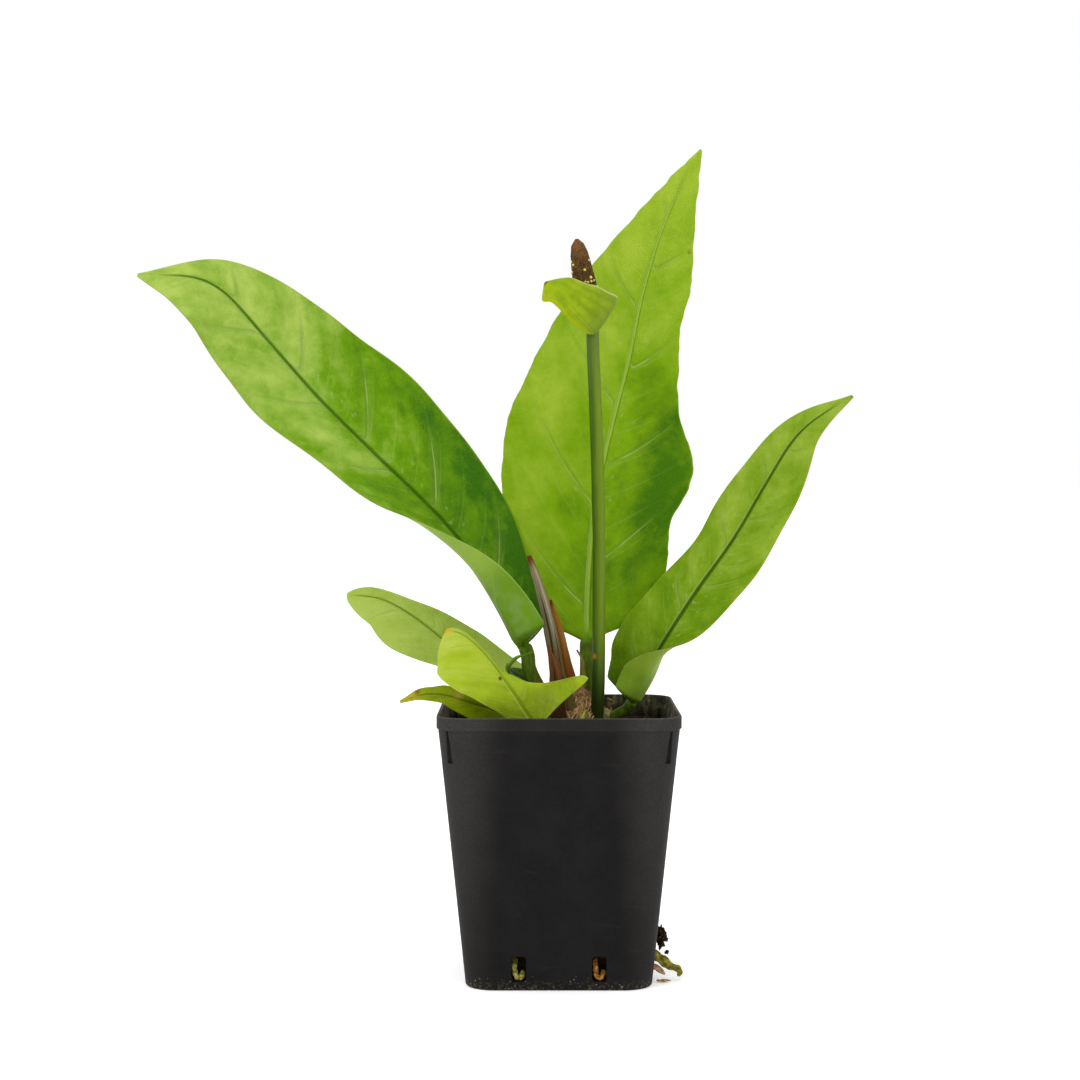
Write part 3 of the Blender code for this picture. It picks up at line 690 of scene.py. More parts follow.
def tube(name, finish, points, radii, rows=60, sides=24, lumps=0.0, lump_size=4.0, seed=1):
    """A stem or root along a smooth route, with lumps as a share of its radius."""
    route = np.array(points, dtype=float)
    rings, turns, side = [], [], None
    for r in range(rows + 1):
        share = r / rows
        heading = unit(along_list(route, min(share + 0.01, 1)) - along_list(route, max(share - 0.01, 0)))
        if side is None:
            side = unit(np.cross(heading, (0.1, 1.0, 0.3)))
        side = unit(side - side @ heading * heading)
        other = np.cross(heading, side)
        centre, radius = along_list(route, share), float(along_list(radii, share))
        if r in (0, rows):
            radius *= 0.7
        ring = []
        for i in range(sides):
            a = 2 * math.pi * i / sides
            spoke = math.cos(a) * side + math.sin(a) * other
            place = Vector((centre + spoke * radius) / lump_size) + Vector((seed, 0, 0))
            ring.append(centre + radius * (1 + lumps * noise.noise(place)) * spoke)
            turns.append(a)
        rings.append(ring)
    return make(name, *loft(rings), finish, {"turn": turns}, sharp=60)


def from_crown(*points):
    """Points given from the crown of the plant."""
    return [CROWN + np.array(p, dtype=float) for p in points]


def lump(name, finish, centre, radii, bumps=0.2, size=2.0, seed=0, rings=22, sides=30):
    """A rough lump such as a bud or a clod of mix."""
    skins = []
    for r in range(rings + 1):
        polar = math.pi * (0.02 + 0.96 * r / rings)
        ring = []
        for i in range(sides):
            a = 2 * math.pi * i / sides
            way = np.array((math.sin(polar) * math.cos(a), math.sin(polar) * math.sin(a), -math.cos(polar)))
            spot = way * np.array(radii)
            far = noise.fractal(Vector(spot / size) + Vector((seed * 3.7, 0, 0)), 1.0, 2.0, 3)
            ring.append(np.array(centre) + spot * (1 - bumps * 0.5 + bumps * far))
        skins.append(ring)
    return make(name, *loft(skins), finish, sharp=80)


# ---------------------------------------------------------------- repeated parts

class Tree:
    """A Geometry Nodes tree with named inputs, which is run once on a piece."""

    def __init__(self, name, **inputs):
        self.tree = bpy.data.node_groups.new(name, "GeometryNodeTree")
        panel = self.tree.interface
        panel.new_socket(name="Geometry", in_out="INPUT", socket_type="NodeSocketGeometry")
        panel.new_socket(name="Geometry", in_out="OUTPUT", socket_type="NodeSocketGeometry")
        self.keys = {label: panel.new_socket(name=label, in_out="INPUT", socket_type=kind).identifier
                     for label, kind in inputs.items()}
        self.inputs = self.tree.nodes.new("NodeGroupInput").outputs
        self.result = self.tree.nodes.new("NodeGroupOutput").inputs[0]

    def node(self, kind, values=None, out=0, **settings):
        """A node of a kind: its settings first, then the values or links of its sockets."""
        made = self.tree.nodes.new(kind)
        for key, value in settings.items():
            setattr(made, key, value)
        for key, value in (values or {}).items():
            if isinstance(value, bpy.types.NodeSocket):
                self.tree.links.new(value, made.inputs[key])
            else:
                made.inputs[key].default_value = value
        return made.outputs[out]

    def end(self, source):
        """Ends the tree in Realize Instances and Set Material."""
        real = self.node("GeometryNodeRealizeInstances", {0: source})
        smooth = self.node("GeometryNodeSetShadeSmooth", {0: real})
        painted = self.node("GeometryNodeSetMaterial", {0: smooth, "Material": self.inputs["Finish"]})
        self.tree.links.new(painted, self.result)

    def grow(self, piece, **values):
        """Runs the tree on a piece with its inputs set, and gives the result as a plain mesh."""
        step = piece.modifiers.new("grow", "NODES")
        step.node_group = self.tree
        for label, value in values.items():
            step[self.keys[label]] = value
        return plain(piece)


def strands(name, finish, routes, sides):
    """Fine tubes: routes are lists of (point, radius) in millimetres."""
    curve = bpy.data.curves.new(name, "CURVE")
    curve.dimensions = "3D"
    for route in routes:
        line = curve.splines.new("POLY")
        line.points.add(len(route) - 1)
        for knot, (p, radius) in zip(line.points, route):
            knot.co = (*(np.asarray(p) * MM), 1.0)
            knot.radius = radius * MM
    tree = Tree("strands", Sides="NodeSocketInt", Finish="NodeSocketMaterial")
    ring = tree.node("GeometryNodeCurvePrimitiveCircle", {"Radius": 1.0, "Resolution": tree.inputs["Sides"]})
    tree.end(tree.node("GeometryNodeCurveToMesh", {
        "Curve": tree.inputs["Geometry"], "Profile Curve": ring, "Fill Caps": True,
        "Scale": tree.node("GeometryNodeInputRadius")}))
    return tree.grow(set_out(name, curve), Sides=sides, Finish=finish)


def strewn(name, finish, points, faces, density, smallest, largest, seed):
    """Crumbs of many sizes, from smallest to largest in millimetres, strewn over a surface."""
    tree = Tree("crumbs", Density="NodeSocketFloat", Smallest="NodeSocketVector",
                Largest="NodeSocketVector", Seed="NodeSocketInt", Finish="NodeSocketMaterial")
    spots = tree.node("GeometryNodeDistributePointsOnFaces", {
        "Mesh": tree.inputs["Geometry"], "Density": tree.inputs["Density"], "Seed": tree.inputs["Seed"]})
    dents = tree.node("ShaderNodeTexNoise", {"Scale": 1.3})
    level = tree.node("ShaderNodeMath", {0: dents, 1: 1.3, 2: 0.35}, operation="MULTIPLY_ADD")
    dented = tree.node("ShaderNodeVectorMath", {0: tree.node("GeometryNodeInputPosition"), "Scale": level},
                       operation="SCALE")
    ball = tree.node("GeometryNodeMeshIcoSphere", {"Radius": 1.0, "Subdivisions": 2})
    crumb = tree.node("GeometryNodeSetPosition", {"Geometry": ball, "Position": dented})
    sizes = tree.node("FunctionNodeRandomValue", {
        0: tree.inputs["Smallest"], 1: tree.inputs["Largest"], "Seed": tree.inputs["Seed"]},
        data_type="FLOAT_VECTOR")
    turns = tree.node("FunctionNodeRandomValue", {1: (6.28, 6.28, 6.28)}, data_type="FLOAT_VECTOR")
    tree.end(tree.node("GeometryNodeInstanceOnPoints", {
        "Points": spots, "Instance": crumb, "Rotation": turns, "Scale": sizes}))
    mesh = bpy.data.meshes.new(name)
    mesh.from_pydata(in_metres(points), [], faces)
    return tree.grow(set_out(name, mesh), Density=density, Smallest=tuple(c * MM for c in smallest),
                     Largest=tuple(c * MM for c in largest), Seed=seed, Finish=finish)


def domes(name, finish, spots, flatness, sides):
    """Small domes: spots are (point, direction, radius), in millimetres."""
    tree = Tree("domes", Flatness="NodeSocketFloat", Sides="NodeSocketInt", Finish="NodeSocketMaterial")
    dots = tree.node("GeometryNodeMeshToPoints", {"Mesh": tree.inputs["Geometry"]})
    ball = tree.node("GeometryNodeMeshUVSphere", {
        "Segments": tree.inputs["Sides"], "Rings": 5, "Radius": 1.0})
    flat = tree.node("ShaderNodeCombineXYZ", {0: 1.0, 1: 1.0, 2: tree.inputs["Flatness"]})
    dome = tree.node("GeometryNodeTransform", {"Geometry": ball, "Scale": flat})
    look = tree.node("GeometryNodeInputNamedAttribute", {0: "look"}, data_type="FLOAT_VECTOR")
    size = tree.node("GeometryNodeInputNamedAttribute", {0: "size"}, data_type="FLOAT")
    turn = tree.node("FunctionNodeAlignRotationToVector", {"Vector": look}, axis="Z")
    tree.end(tree.node("GeometryNodeInstanceOnPoints", {
        "Points": dots, "Instance": dome, "Rotation": turn, "Scale": size}))
    mesh = bpy.data.meshes.new(name)
    mesh.from_pydata(in_metres(p for p, _, _ in spots), [], [])
    looks = [c for _, way, _ in spots for c in way]
    mesh.attributes.new("look", "FLOAT_VECTOR", "POINT").data.foreach_set("vector", looks)
    sizes = [radius * MM for _, _, radius in spots]
    mesh.attributes.new("size", "FLOAT", "POINT").data.foreach_set("value", sizes)
    return tree.grow(set_out(name, mesh), Flatness=flatness, Sides=sides, Finish=finish)


# ---------------------------------------------------------------- pot

def square_ring(z, half, corner, push=0.0, recess=1.0):
    """A rounded square whose corners can be pushed in over a recess of a given width."""
    edge = math.degrees(recess / (2 * corner))
    low, high = 45 - edge, 45 + edge
    turns = [*np.linspace(0, low - 1.6, 8), low - 0.5, low, 45,
             high, high + 0.5, *np.linspace(high + 1.6, 90, 8)]
    flat_run = half - corner
    ring = []
    for quarter in range(4):
        points = [(half, flat_run * s) for s in (0.0, 0.5, 0.93)]
        for turn in turns:
            a = math.radians(turn)
            radius = corner - (push if low <= turn <= high else 0.0)
            points.append((flat_run + radius * math.cos(a), flat_run + radius * math.sin(a)))
        points += [(flat_run * s, half) for s in (0.93, 0.5)]
        ring += [(*quarter_turned(x, y, quarter), z) for x, y in points]
    return ring


def quarter_turned(x, y, quarters):
    for _ in range(quarters):
        x, y = -y, x
    return x, y


def wall_half(z):
    """Half the width of the tapered wall at a height."""
    share = z / (HEIGHT - COLLAR_HEIGHT)
    return (BASE_WIDTH + (RIM_WIDTH - 2 * COLLAR_STEP - BASE_WIDTH) * share) / 2


def wall_corner(z):
    return BASE_CORNER + (RIM_CORNER - BASE_CORNER) * z / HEIGHT


def slot_cutter(width, height, bottom, inner, outer, corner=1.1):
    """Round-cornered blocks at the eight drainage slots."""
    points, faces = [], []
    outline = []
    for cx, cz, start in ((1, 1, 0), (-1, 1, 90), (-1, -1, 180), (1, -1, 270)):
        for k in range(5):
            a = math.radians(start + 22.5 * k)
            outline.append((cx * (width / 2 - corner) + corner * math.cos(a),
                            bottom + height / 2 + cz * (height / 2 - corner) + corner * math.sin(a)))
    for quarter in range(4):
        for side in (-1, 1):
            start, n = len(points), len(outline)
            for y in (inner, outer):
                for x, z in outline:
                    points.append((*quarter_turned(side * SLOT_SPACING / 2 + x, y, quarter), z))
            faces.append(tuple(range(start, start + n)))
            faces.append(tuple(reversed(range(start + n, start + 2 * n))))
            for i in range(n):
                j = (i + 1) % n
                faces.append((start + j, start + i, start + n + i, start + n + j))
    return points, faces


def cut_slots(piece, width, height, bottom, inner, outer):
    cutter = make("slot_block", *slot_cutter(width, height, bottom, inner, outer), None)
    step = piece.modifiers.new("slots", "BOOLEAN")
    step.operation = "DIFFERENCE"
    step.solver = "EXACT"
    step.object = cutter
    result = plain(piece)
    bpy.data.objects.remove(cutter)
    return result


def build_pot():
    """The wall, collar, corner recesses and floor as one skin, with the slots cut through."""
    low, high = HEIGHT - COLLAR_HEIGHT - RECESS_HEIGHT, HEIGHT - COLLAR_HEIGHT
    rim = RIM_WIDTH / 2
    skin = WALL + 0.2
    outer = [
        square_ring(0, wall_half(0) - 1.0, BASE_CORNER - 1.0),
        square_ring(0.12, wall_half(0) - 0.5, BASE_CORNER - 0.5),
        square_ring(0.5, wall_half(0.5) - 0.08, BASE_CORNER - 0.08),
        square_ring(1.0, wall_half(1.0), BASE_CORNER),
    ]
    for k in range(1, 9):
        z = 1.0 + (low - 1.6) * k / 9
        outer.append(square_ring(z, wall_half(z), wall_corner(z), 0, 3.0))
    outer += [
        square_ring(low - 0.35, wall_half(low), wall_corner(low), 0, 3.0),
        square_ring(low - 0.2, wall_half(low), wall_corner(low), 0.25, 2.9),
        square_ring(low, wall_half(low), wall_corner(low), RECESS_DEPTH, 2.8),
        square_ring(high - 0.8, wall_half(high), wall_corner(high), RECESS_DEPTH, 1.0),
        square_ring(high - 0.25, wall_half(high), wall_corner(high), 0, 1.0),
        square_ring(high - 0.05, wall_half(high) + 0.05, wall_corner(high), 0, 1.0),
        square_ring(high + 0.1, rim - 0.12, RIM_CORNER - 0.12),
        square_ring(high + 0.3, rim, RIM_CORNER),
        square_ring(HEIGHT - 0.45, rim, RIM_CORNER),
        square_ring(HEIGHT - 0.15, rim - 0.1, RIM_CORNER - 0.1),
        square_ring(HEIGHT, rim - 0.35, RIM_CORNER - 0.35),
    ]
    inner = [
        square_ring(HEIGHT, rim - skin + 0.35, RIM_CORNER - skin + 0.35),
        square_ring(HEIGHT - 0.15, rim - skin + 0.1, RIM_CORNER - skin + 0.1),
        square_ring(HEIGHT - 0.45, rim - skin, RIM_CORNER - skin),
        square_ring(high + 1.2, rim - skin, RIM_CORNER - skin, 0, 2.4),
    ]
    for z, push, recess in ((high + 0.2, 0, 2.4), (high - 0.4, 1, 2.4),
                            (low - 0.7, 1, 4.2), (low - 1.4, 0, 4.2)):
        inner.append(square_ring(z, wall_half(z) - WALL, wall_corner(z) - WALL, push * RECESS_DEPTH, recess))
    inner.append(square_ring(FLOOR + 0.8, wall_half(FLOOR + 0.8) - WALL, BASE_CORNER - WALL))
    inner.append(square_ring(FLOOR, wall_half(FLOOR) - WALL - 0.8, BASE_CORNER - WALL - 0.8))
    count = len(outer[0])
    inside = [0.0] * (count * len(outer)) + [1.0] * (count * len(inner))
    shell = make("pot_shell", *loft(outer + inner), plastic_finish(), {"inside": inside}, sharp=28)
    reach = BASE_WIDTH / 2
    shell = cut_slots(shell, SLOT_WIDTH, SLOT_HEIGHT, SLOT_BOTTOM, reach - 4, reach + 4)
    shell.data.set_sharp_from_angle(angle=math.radians(28))
    settle(shell, "pot_plastic", "pot")


def mix_height(x, y):
    """How high the mix stands at a spot, heaped a little toward the stem."""
    spot = Vector((x / 6.0, y / 6.0, 1.7))
    rough = noise.fractal(spot, 0.9, 2.2, 4) * 1.3
    heap = 1.4 * math.exp(-((x - CROWN[0]) ** 2 + y ** 2) / 260.0)
    return CROWN[2] - 1.2 + max(-1.5, min(1.2, rough)) + heap


def build_mix(finish):
    """The root ball, up to its rough top."""
    low = HEIGHT - COLLAR_HEIGHT - RECESS_HEIGHT
    off = WALL + 0.3
    rings = []
    for z, push in ((2.6, 0), (12, 0), (30, 0), (60, 0), (low - 2.2, 0), (low - 1.0, 1), (CROWN[2] - 2.0, 1)):
        rings.append(square_ring(z, wall_half(z) - off, wall_corner(z) - off, push * RECESS_DEPTH, 5.0))
    rings.insert(0, [(x * 0.97, y * 0.97, FLOOR + 0.35) for x, y, _ in rings[0]])
    edge = rings[-1]
    steps = 26
    for k in range(steps):
        share = 1 - (k + 0.5) / (steps + 0.4)
        rings.append([(x * share, y * share, mix_height(x * share, y * share)) for x, y, _ in edge])
    body = make("mix_body", *loft(rings), finish, sharp=89)
    reach = wall_half(SLOT_BOTTOM) - WALL
    body = cut_slots(body, SLOT_WIDTH - 0.4, SLOT_HEIGHT - 0.4, SLOT_BOTTOM + 0.2, reach - 5, reach + 4)
    settle(body, "potting_mix", "potting_mix")


def build_litter(finish):
    """Crumbs and chips of bark strewn over the mix, round the stem base."""
    half = wall_half(CROWN[2]) - 2.5
    side = 40
    points, faces = [], []
    for i in range(side + 1):
        for j in range(side + 1):
            x, y = half * (2 * i / side - 1), half * (2 * j / side - 1)
            points.append((x, y, mix_height(x, y)))
    for i in range(side):
        for j in range(side):
            a = i * (side + 1) + j
            x, y, _ = points[a]
            stem = (x - CROWN[0]) / (STEM_ACROSS + 0.5), (y - STEM_BACK) / (STEM_DEEP + 0.5)
            clear_of_stem = math.hypot(*stem) > 1
            clear_of_corner = abs(x) + abs(y) < 1.62 * half
            if clear_of_stem and clear_of_corner:
                faces.append((a, a + side + 1, a + side + 2, a + 1))
    settle(strewn("mix_litter", finish, points, faces, density=90000.0,
                  smallest=(0.35, 0.3, 0.2), largest=(1.1, 0.8, 0.6), seed=4), "potting_mix")
    settle(strewn("bark_chips", finish, points, faces, density=9000.0,
                  smallest=(0.9, 0.5, 0.25), largest=(2.6, 1.4, 0.7), seed=9), "potting_mix")


# the stem base at its levels, from the crown: its share of the full radii, and its lean to the left
STEM_LEVELS = (-13.0, -10.0, -4.0, 1.0, 6.0, 10.5, 14.0, 16.0)
STEM_SPREADS = (0.55, 0.82, 0.98, 1.0, 0.9, 0.66, 0.4, 0.16)
STEM_LEANS = (0.0, 0.0, 0.0, 0.0, -0.5, -1.5, -2.5, -3.0)
STEM_ACROSS = 11.0
STEM_DEEP = 8.0
STEM_BACK = 1.0  # how far its middle is behind the crown


def build_stem_base(finish):
    rings = []
    for r in range(46):
        s = r / 45
        z, spread, lean = (float(along_list(v, s)) for v in (STEM_LEVELS, STEM_SPREADS, STEM_LEANS))
        ring = []
        for i in range(64):
            a = 2 * math.pi * i / 64
            way = Vector((math.cos(a) * 2.4, math.sin(a) * 2.4, z / 9.0))
            bump = 1 + 0.09 * noise.fractal(way, 1.0, 2.0, 4) + 0.03 * math.cos(9 * a + z * 0.4)
            x = STEM_ACROSS * spread * bump * math.cos(a) + lean
            y = STEM_DEEP * spread * bump * math.sin(a) + STEM_BACK
            ring.append(CROWN + (x, y, z))
        rings.append(ring)
    settle(make("stem_base", *loft(rings), finish, sharp=80), "rhizome_bark", "rhizome")


def build_stem_fibres(finish):
    """Dry fibres that lie round the stem base, some of them loose at their tops."""
    rng = random.Random(21)
    routes = []
    for _ in range(150):
        a = rng.uniform(0, 2 * math.pi)
        start = rng.uniform(-1.0, 7.0)
        length = rng.uniform(6, 15)
        twist = rng.uniform(-0.5, 0.9)
        stand = rng.uniform(0.0, 0.9)
        radius = rng.uniform(0.14, 0.42)
        loose = rng.random() < 0.2
        route = []
        for k in range(9):
            s = k / 8
            z = start + length * s * (0.95 if loose else 0.8)
            level = min(max((z - STEM_LEVELS[0]) / (STEM_LEVELS[-1] - STEM_LEVELS[0]), 0), 1)
            spread = float(np.interp(z, STEM_LEVELS, STEM_SPREADS))
            lean = float(np.interp(z, STEM_LEVELS, STEM_LEANS))
            turn = a + twist * s
            gap = stand + (2.2 * s * s if loose else 0.0) + 0.25 * math.sin(9 * s + a)
            x = (STEM_ACROSS * spread + gap) * math.cos(turn) + lean
            y = (STEM_DEEP * spread + gap) * math.sin(turn) + STEM_BACK
            route.append((CROWN + (x, y, z), radius * (1 - 0.75 * s * s) * (0.9 + 0.1 * level)))
        routes.append(route)
    settle(strands("stem_fibres", finish, routes, sides=6), "rhizome_bark")


# ---------------------------------------------------------------- leaves

LEAF_GREEN = dict(vein=rgb(158, 186, 92), margin=rgb(142, 170, 30), stalk=rgb(74, 92, 22))


def even_tone(along, across, mottle):
    return (mottle - 0.5) * 1.4 + 0.5

def build_tall_leaf():
    """The tallest leaf, behind the flower."""
    def tone(along, across, mottle):
        shade = across.rise(0.1, 0.8) * along.rise(0.68, 0.4) * along.rise(0.05, 0.3)
        return (mottle - 0.5) * 1.3 + 0.3 + along * 0.5 + across.rise(0.0, -0.7) * 0.16 - shade * 0.5

    finish = leaf_finish("leaf green, tall", rgb(62, 112, 0), rgb(118, 160, 2), rgb(160, 188, 52),
                         back=rgb(120, 150, 50), tone=tone, rib_tone=rgb(158, 188, 66), rib_width=1.0,
                         marks=((CROWN + (44.0, 32.0, 183.0), 1.8, rgb(120, 84, 34)),), **LEAF_GREEN)
    settle(blade(
        "tall_leaf", finish,
        stalk=from_crown((4, 2, -2), (5, 2, 4), (3, 4, 13), (3, 6, 24)),
        rib=from_crown((3, 8, 32), (4, 13, 60), (7, 18, 87), (13, 23, 114), (20, 28, 141), (26, 31, 169),
                       (35, 32, 197), (48, 29, 223)),
        face=((0.1, -1, 0.1), (0.05, -1, 0), (0, -1, 0.05)),
        left=(20, 29, 36, 40, 37, 31, 20, 9, 0.5),
        right=(16, 29, 30, 35, 24, 18, 17, 10, 0.5),
        lift=((6, 4, 4), (14, 12, 10)), curl=((-8,), (-14,)),
        rows=170, half_columns=34, ripple=1.8, ripple_length=40, vein_gap=40, pillow=1.3, groove=0.4,
        rough_edge=0.5, seed=3,
    ), "leaf_green", "leaf_tall")


def build_left_leaf():
    """The long leaf up to the left, folded over at its foot."""
    def tone(along, across, mottle):
        shade = across.rise(0.15, 0.8) * along.rise(0.75, 0.45) * 0.3
        return (mottle - 0.5) * 1.5 + 0.13 + along * 0.78 + across.rise(0.0, -0.8) * 0.1 - shade

    finish = leaf_finish("leaf green, left", rgb(52, 106, 0), rgb(104, 152, 0), rgb(172, 198, 88),
                         back=rgb(104, 142, 34), tone=tone, rib_tone=rgb(62, 108, 0), rib_width=1.0,
                         marks=((CROWN + (-13.0, -5.5, 17.0), 6.0, rgb(104, 74, 36)),), **LEAF_GREEN)
    settle(blade(
        "left_leaf", finish,
        stalk=from_crown((-5, -2, -2), (-9, -3, 5), (-15, -5, 14), (-19, -5, 22)),
        rib=from_crown((-21, -4, 31), (-34, -3, 55), (-51, -2, 77), (-74, -4, 100), (-98, -8, 124),
                       (-117, -13, 146), (-137, -19, 167), (-162.8, -27, 169)),
        face=((0.3, -0.8, 0.45), (0.25, -0.85, 0.45), (0.1, -0.75, 0.6)),
        left=(22, 22, 22.5, 23.2, 24, 25, 26, 23, 20, 22, 24, 23.5, 22.5, 21, 18, 9.0, 0.4),
        right=(12, 18.5, 27.5, 32, 34, 29, 22, 10.5, 0.5),
        lift=((20, 20, 20, 18, 6, 0, 0, 0, 0), (0, 5, 8, 8, 8)),
        curl=((185, 145, 78, 35, 0, 0, 0, 0, 0), (-10,)),
        rows=190, half_columns=32, ripple=1.2, ripple_length=36, vein_gap=36, pillow=1.1, groove=0.7,
        base=0.035, opening=0.05, smoothing=60, steady=(0.8, 0.6),
        rough_edge=0.35, seed=8,
    ), "leaf_green", "leaf_left")


def build_right_leaf():
    """The leaf up to the right, folded over at its foot."""
    def tone(along, across, mottle):
        return (mottle - 0.5) * 1.4 + 0.34 + along * 0.4

    finish = leaf_finish("leaf green, right", rgb(64, 104, 0), rgb(106, 144, 2), rgb(158, 184, 62),
                         back=rgb(124, 158, 42), tone=tone, vein_strength=0.45, rib_tone=rgb(52, 84, 0),
                         marks=((CROWN + (48.0, -18.0, 28.0), 2.2, rgb(206, 168, 130)),), **LEAF_GREEN)
    settle(blade(
        "right_leaf", finish,
        stalk=from_crown((6, 2, -4), (9, 3, 0), (13, 3, 3), (18, 2, 6)),
        rib=from_crown((20, 0, 9), (26, -1, 19), (31, -2, 30), (44, -4, 51), (58, -6, 71), (70, -8, 92),
                       (83, -10, 112), (101.95, -14, 125)),
        face=((-0.2, -0.9, 0.35), (-0.2, -0.85, 0.45), (0, -0.7, 0.7)),
        left=(12, 16, 18.5, 16, 12.5, 13.5, 10.5, 6.5, 0.5),
        right=(14, 18, 17, 14, 16, 16, 14.5, 8.5, 0.5),
        lift=((10,), (40, 40, 40, 12, 5, 5, 5, 5, 5)),
        curl=((-10,), (165, 185, 105, 5, 0, 0, 0, 0, 0)),
        radius=PETIOLE * 0.75,
        rows=140, half_columns=28, ripple=0.8, ripple_length=30, vein_gap=30, pillow=0.7, groove=0.5,
        base=0.04, opening=0.06, smoothing=20,
        rough_edge=0.25, seed=5,
    ), "leaf_green", "leaf_right")


def build_low_leaf():
    """The low light-green leaf at the left."""
    finish = leaf_finish("leaf pale, low", rgb(146, 174, 44), rgb(178, 202, 86), rgb(202, 216, 124),
                         vein=rgb(186, 204, 112), margin=rgb(166, 190, 70), back=rgb(146, 172, 60),
                         stalk=rgb(100, 128, 24), tone=even_tone, vein_strength=0.25, rib_width=0.9,
                         rib_tone=rgb(112, 146, 30))
    settle(blade(
        "low_leaf", finish,
        stalk=from_crown((-4, 4, -2), (-10, 7, 3), (-14, 9, 8)),
        rib=from_crown((-18, 10, 12), (-34, 12, 20), (-48, 14, 28), (-62, 16, 39),
                       (-76, 17, 47), (-90, 15, 49)),
        face=((0.2, -0.75, 0.6),),
        left=(5, 6, 8, 10.5, 16.5, 19, 16.5, 13, 8),
        right=(7, 9, 11, 12, 10.5, 7.5, 5, 4.5, 3),
        lift=((5,), (5,)), radius=PETIOLE * 0.7,
        rows=110, half_columns=22, stalk_rows=16, ripple=0.5, vein_gap=26, pillow=0.4, groove=0.35,
        blunt=0.1, smoothing=24,
        rough_edge=0.2, seed=12,
    ), "leaf_pale", "leaf_low_left")


def build_front_leaf():
    """The light yellow-green leaf in front of the rim, with its rolled lobe."""
    def tone(along, across, mottle):
        return (mottle - 0.5) * 1.3 + 0.3 + along * 0.45

    finish = leaf_finish("leaf pale, front", rgb(120, 150, 6), rgb(162, 186, 34), rgb(192, 206, 88),
                         vein=rgb(196, 208, 100), margin=rgb(190, 202, 84), back=rgb(150, 172, 60),
                         stalk=rgb(140, 160, 30), tone=tone, vein_strength=0.3, rib_width=0.8,
                         rib_tone=rgb(128, 156, 16),
                         # the last mark is painted shade with a grey-green sheen, where the lobe folds at its
                         # base
                         marks=((CROWN + (-29.5, -33.0, 21.0), 1.1, rgb(96, 70, 20)),
                                (CROWN + (-50.0, -27.5, 38.5), 4.0, rgb(204, 176, 56)),
                                (CROWN + (-12.0, -33.0, 12.0), 8.0, rgb(122, 140, 50))))
    settle(blade(
        "front_leaf", finish,
        stalk=from_crown((-2, -6, 1.5), (-7, -16, 1.6), (-12, -24, 1.6)),
        rib=from_crown((-15.5, -27.5, 2.2), (-19.8, -29, 7.5), (-24, -31, 14.3), (-28, -32, 20),
                       (-31, -32, 24.5), (-35, -32, 29.5), (-39, -31, 33.5),
                       (-43.5, -30, 36.8), (-49.5, -27, 38.4)),
        face=((0.2, -0.93, 0.0), (0.2, -0.85, 0.4), (0.2, -0.8, 0.55), (0.2, -0.8, 0.55), (0.2, -0.8, 0.55)),
        left=(3, 6, 9, 13, 16.5, 18.8, 19, 17.5, 9),
        right=(15, 25, 26.5, 15, 7.5, 5.5, 5.5, 6.5, 8.5, 9, 9, 9, 8.5, 8, 7, 4, 1.5),
        lift=((0,), (0, 0, 0, -10, -30, -30, -30, -20, 0)),
        curl=((-10,), (30, 30, 20, -30, -120, -130, -130, -90, 0)),
        radius=PETIOLE * 0.6,
        rows=120, half_columns=24, stalk_rows=16, ripple=0.3, vein_gap=17, pillow=0.3, groove=0.3,
        base=0.03, opening=0.05, blunt=0.05, smoothing=24,
        rough_edge=0.2, seed=15,
    ), "leaf_pale", "leaf_front")


def build_rim_leaf():
    """The olive leaf over the rim at the left."""
    finish = leaf_finish("leaf olive, rim", rgb(96, 112, 0), rgb(134, 152, 0), rgb(168, 178, 24),
                         vein=rgb(164, 172, 60), margin=rgb(150, 124, 40), back=rgb(112, 126, 16),
                         stalk=rgb(112, 124, 14), tone=even_tone, vein_strength=0.3, rib_width=0.7,
                         # the last mark is a painted highlight on the blade's upper edge, where it rounds
                         # over
                         marks=((CROWN + (-65.0, -21.0, 12.0), 8.0, rgb(170, 164, 36)),
                                (CROWN + (-61.0, -23.0, 15.5), 2.2, rgb(128, 84, 24)),
                                (CROWN + (-45.0, -28.0, 16.0), 4.0, rgb(186, 160, 70))))
    settle(blade(
        "rim_leaf", finish,
        stalk=from_crown((-5.5, -5.8, 0.4), (-12, -11.5, 1.6), (-19, -17, 3.4)),
        rib=from_crown((-26, -22, 6), (-34, -25, 9), (-43, -27, 12), (-50, -26, 14),
                       (-58, -24, 14), (-67, -20, 11)),
        face=((0.1, -0.8, 0.6),),
        left=(7, 8, 7, 6, 5, 3.5, 2.3, 1.3, 0.5),
        right=(3, 3.5, 4.5, 4.5, 4, 4, 3, 2.3, 0.5),
        radius=PETIOLE * 0.5,
        rows=80, half_columns=16, stalk_rows=16, ripple=0.5, ripple_length=18, vein_gap=14,
        pillow=0.2, groove=0.25, rough_edge=0.25, seed=18,
    ), "leaf_olive", "leaf_rim")


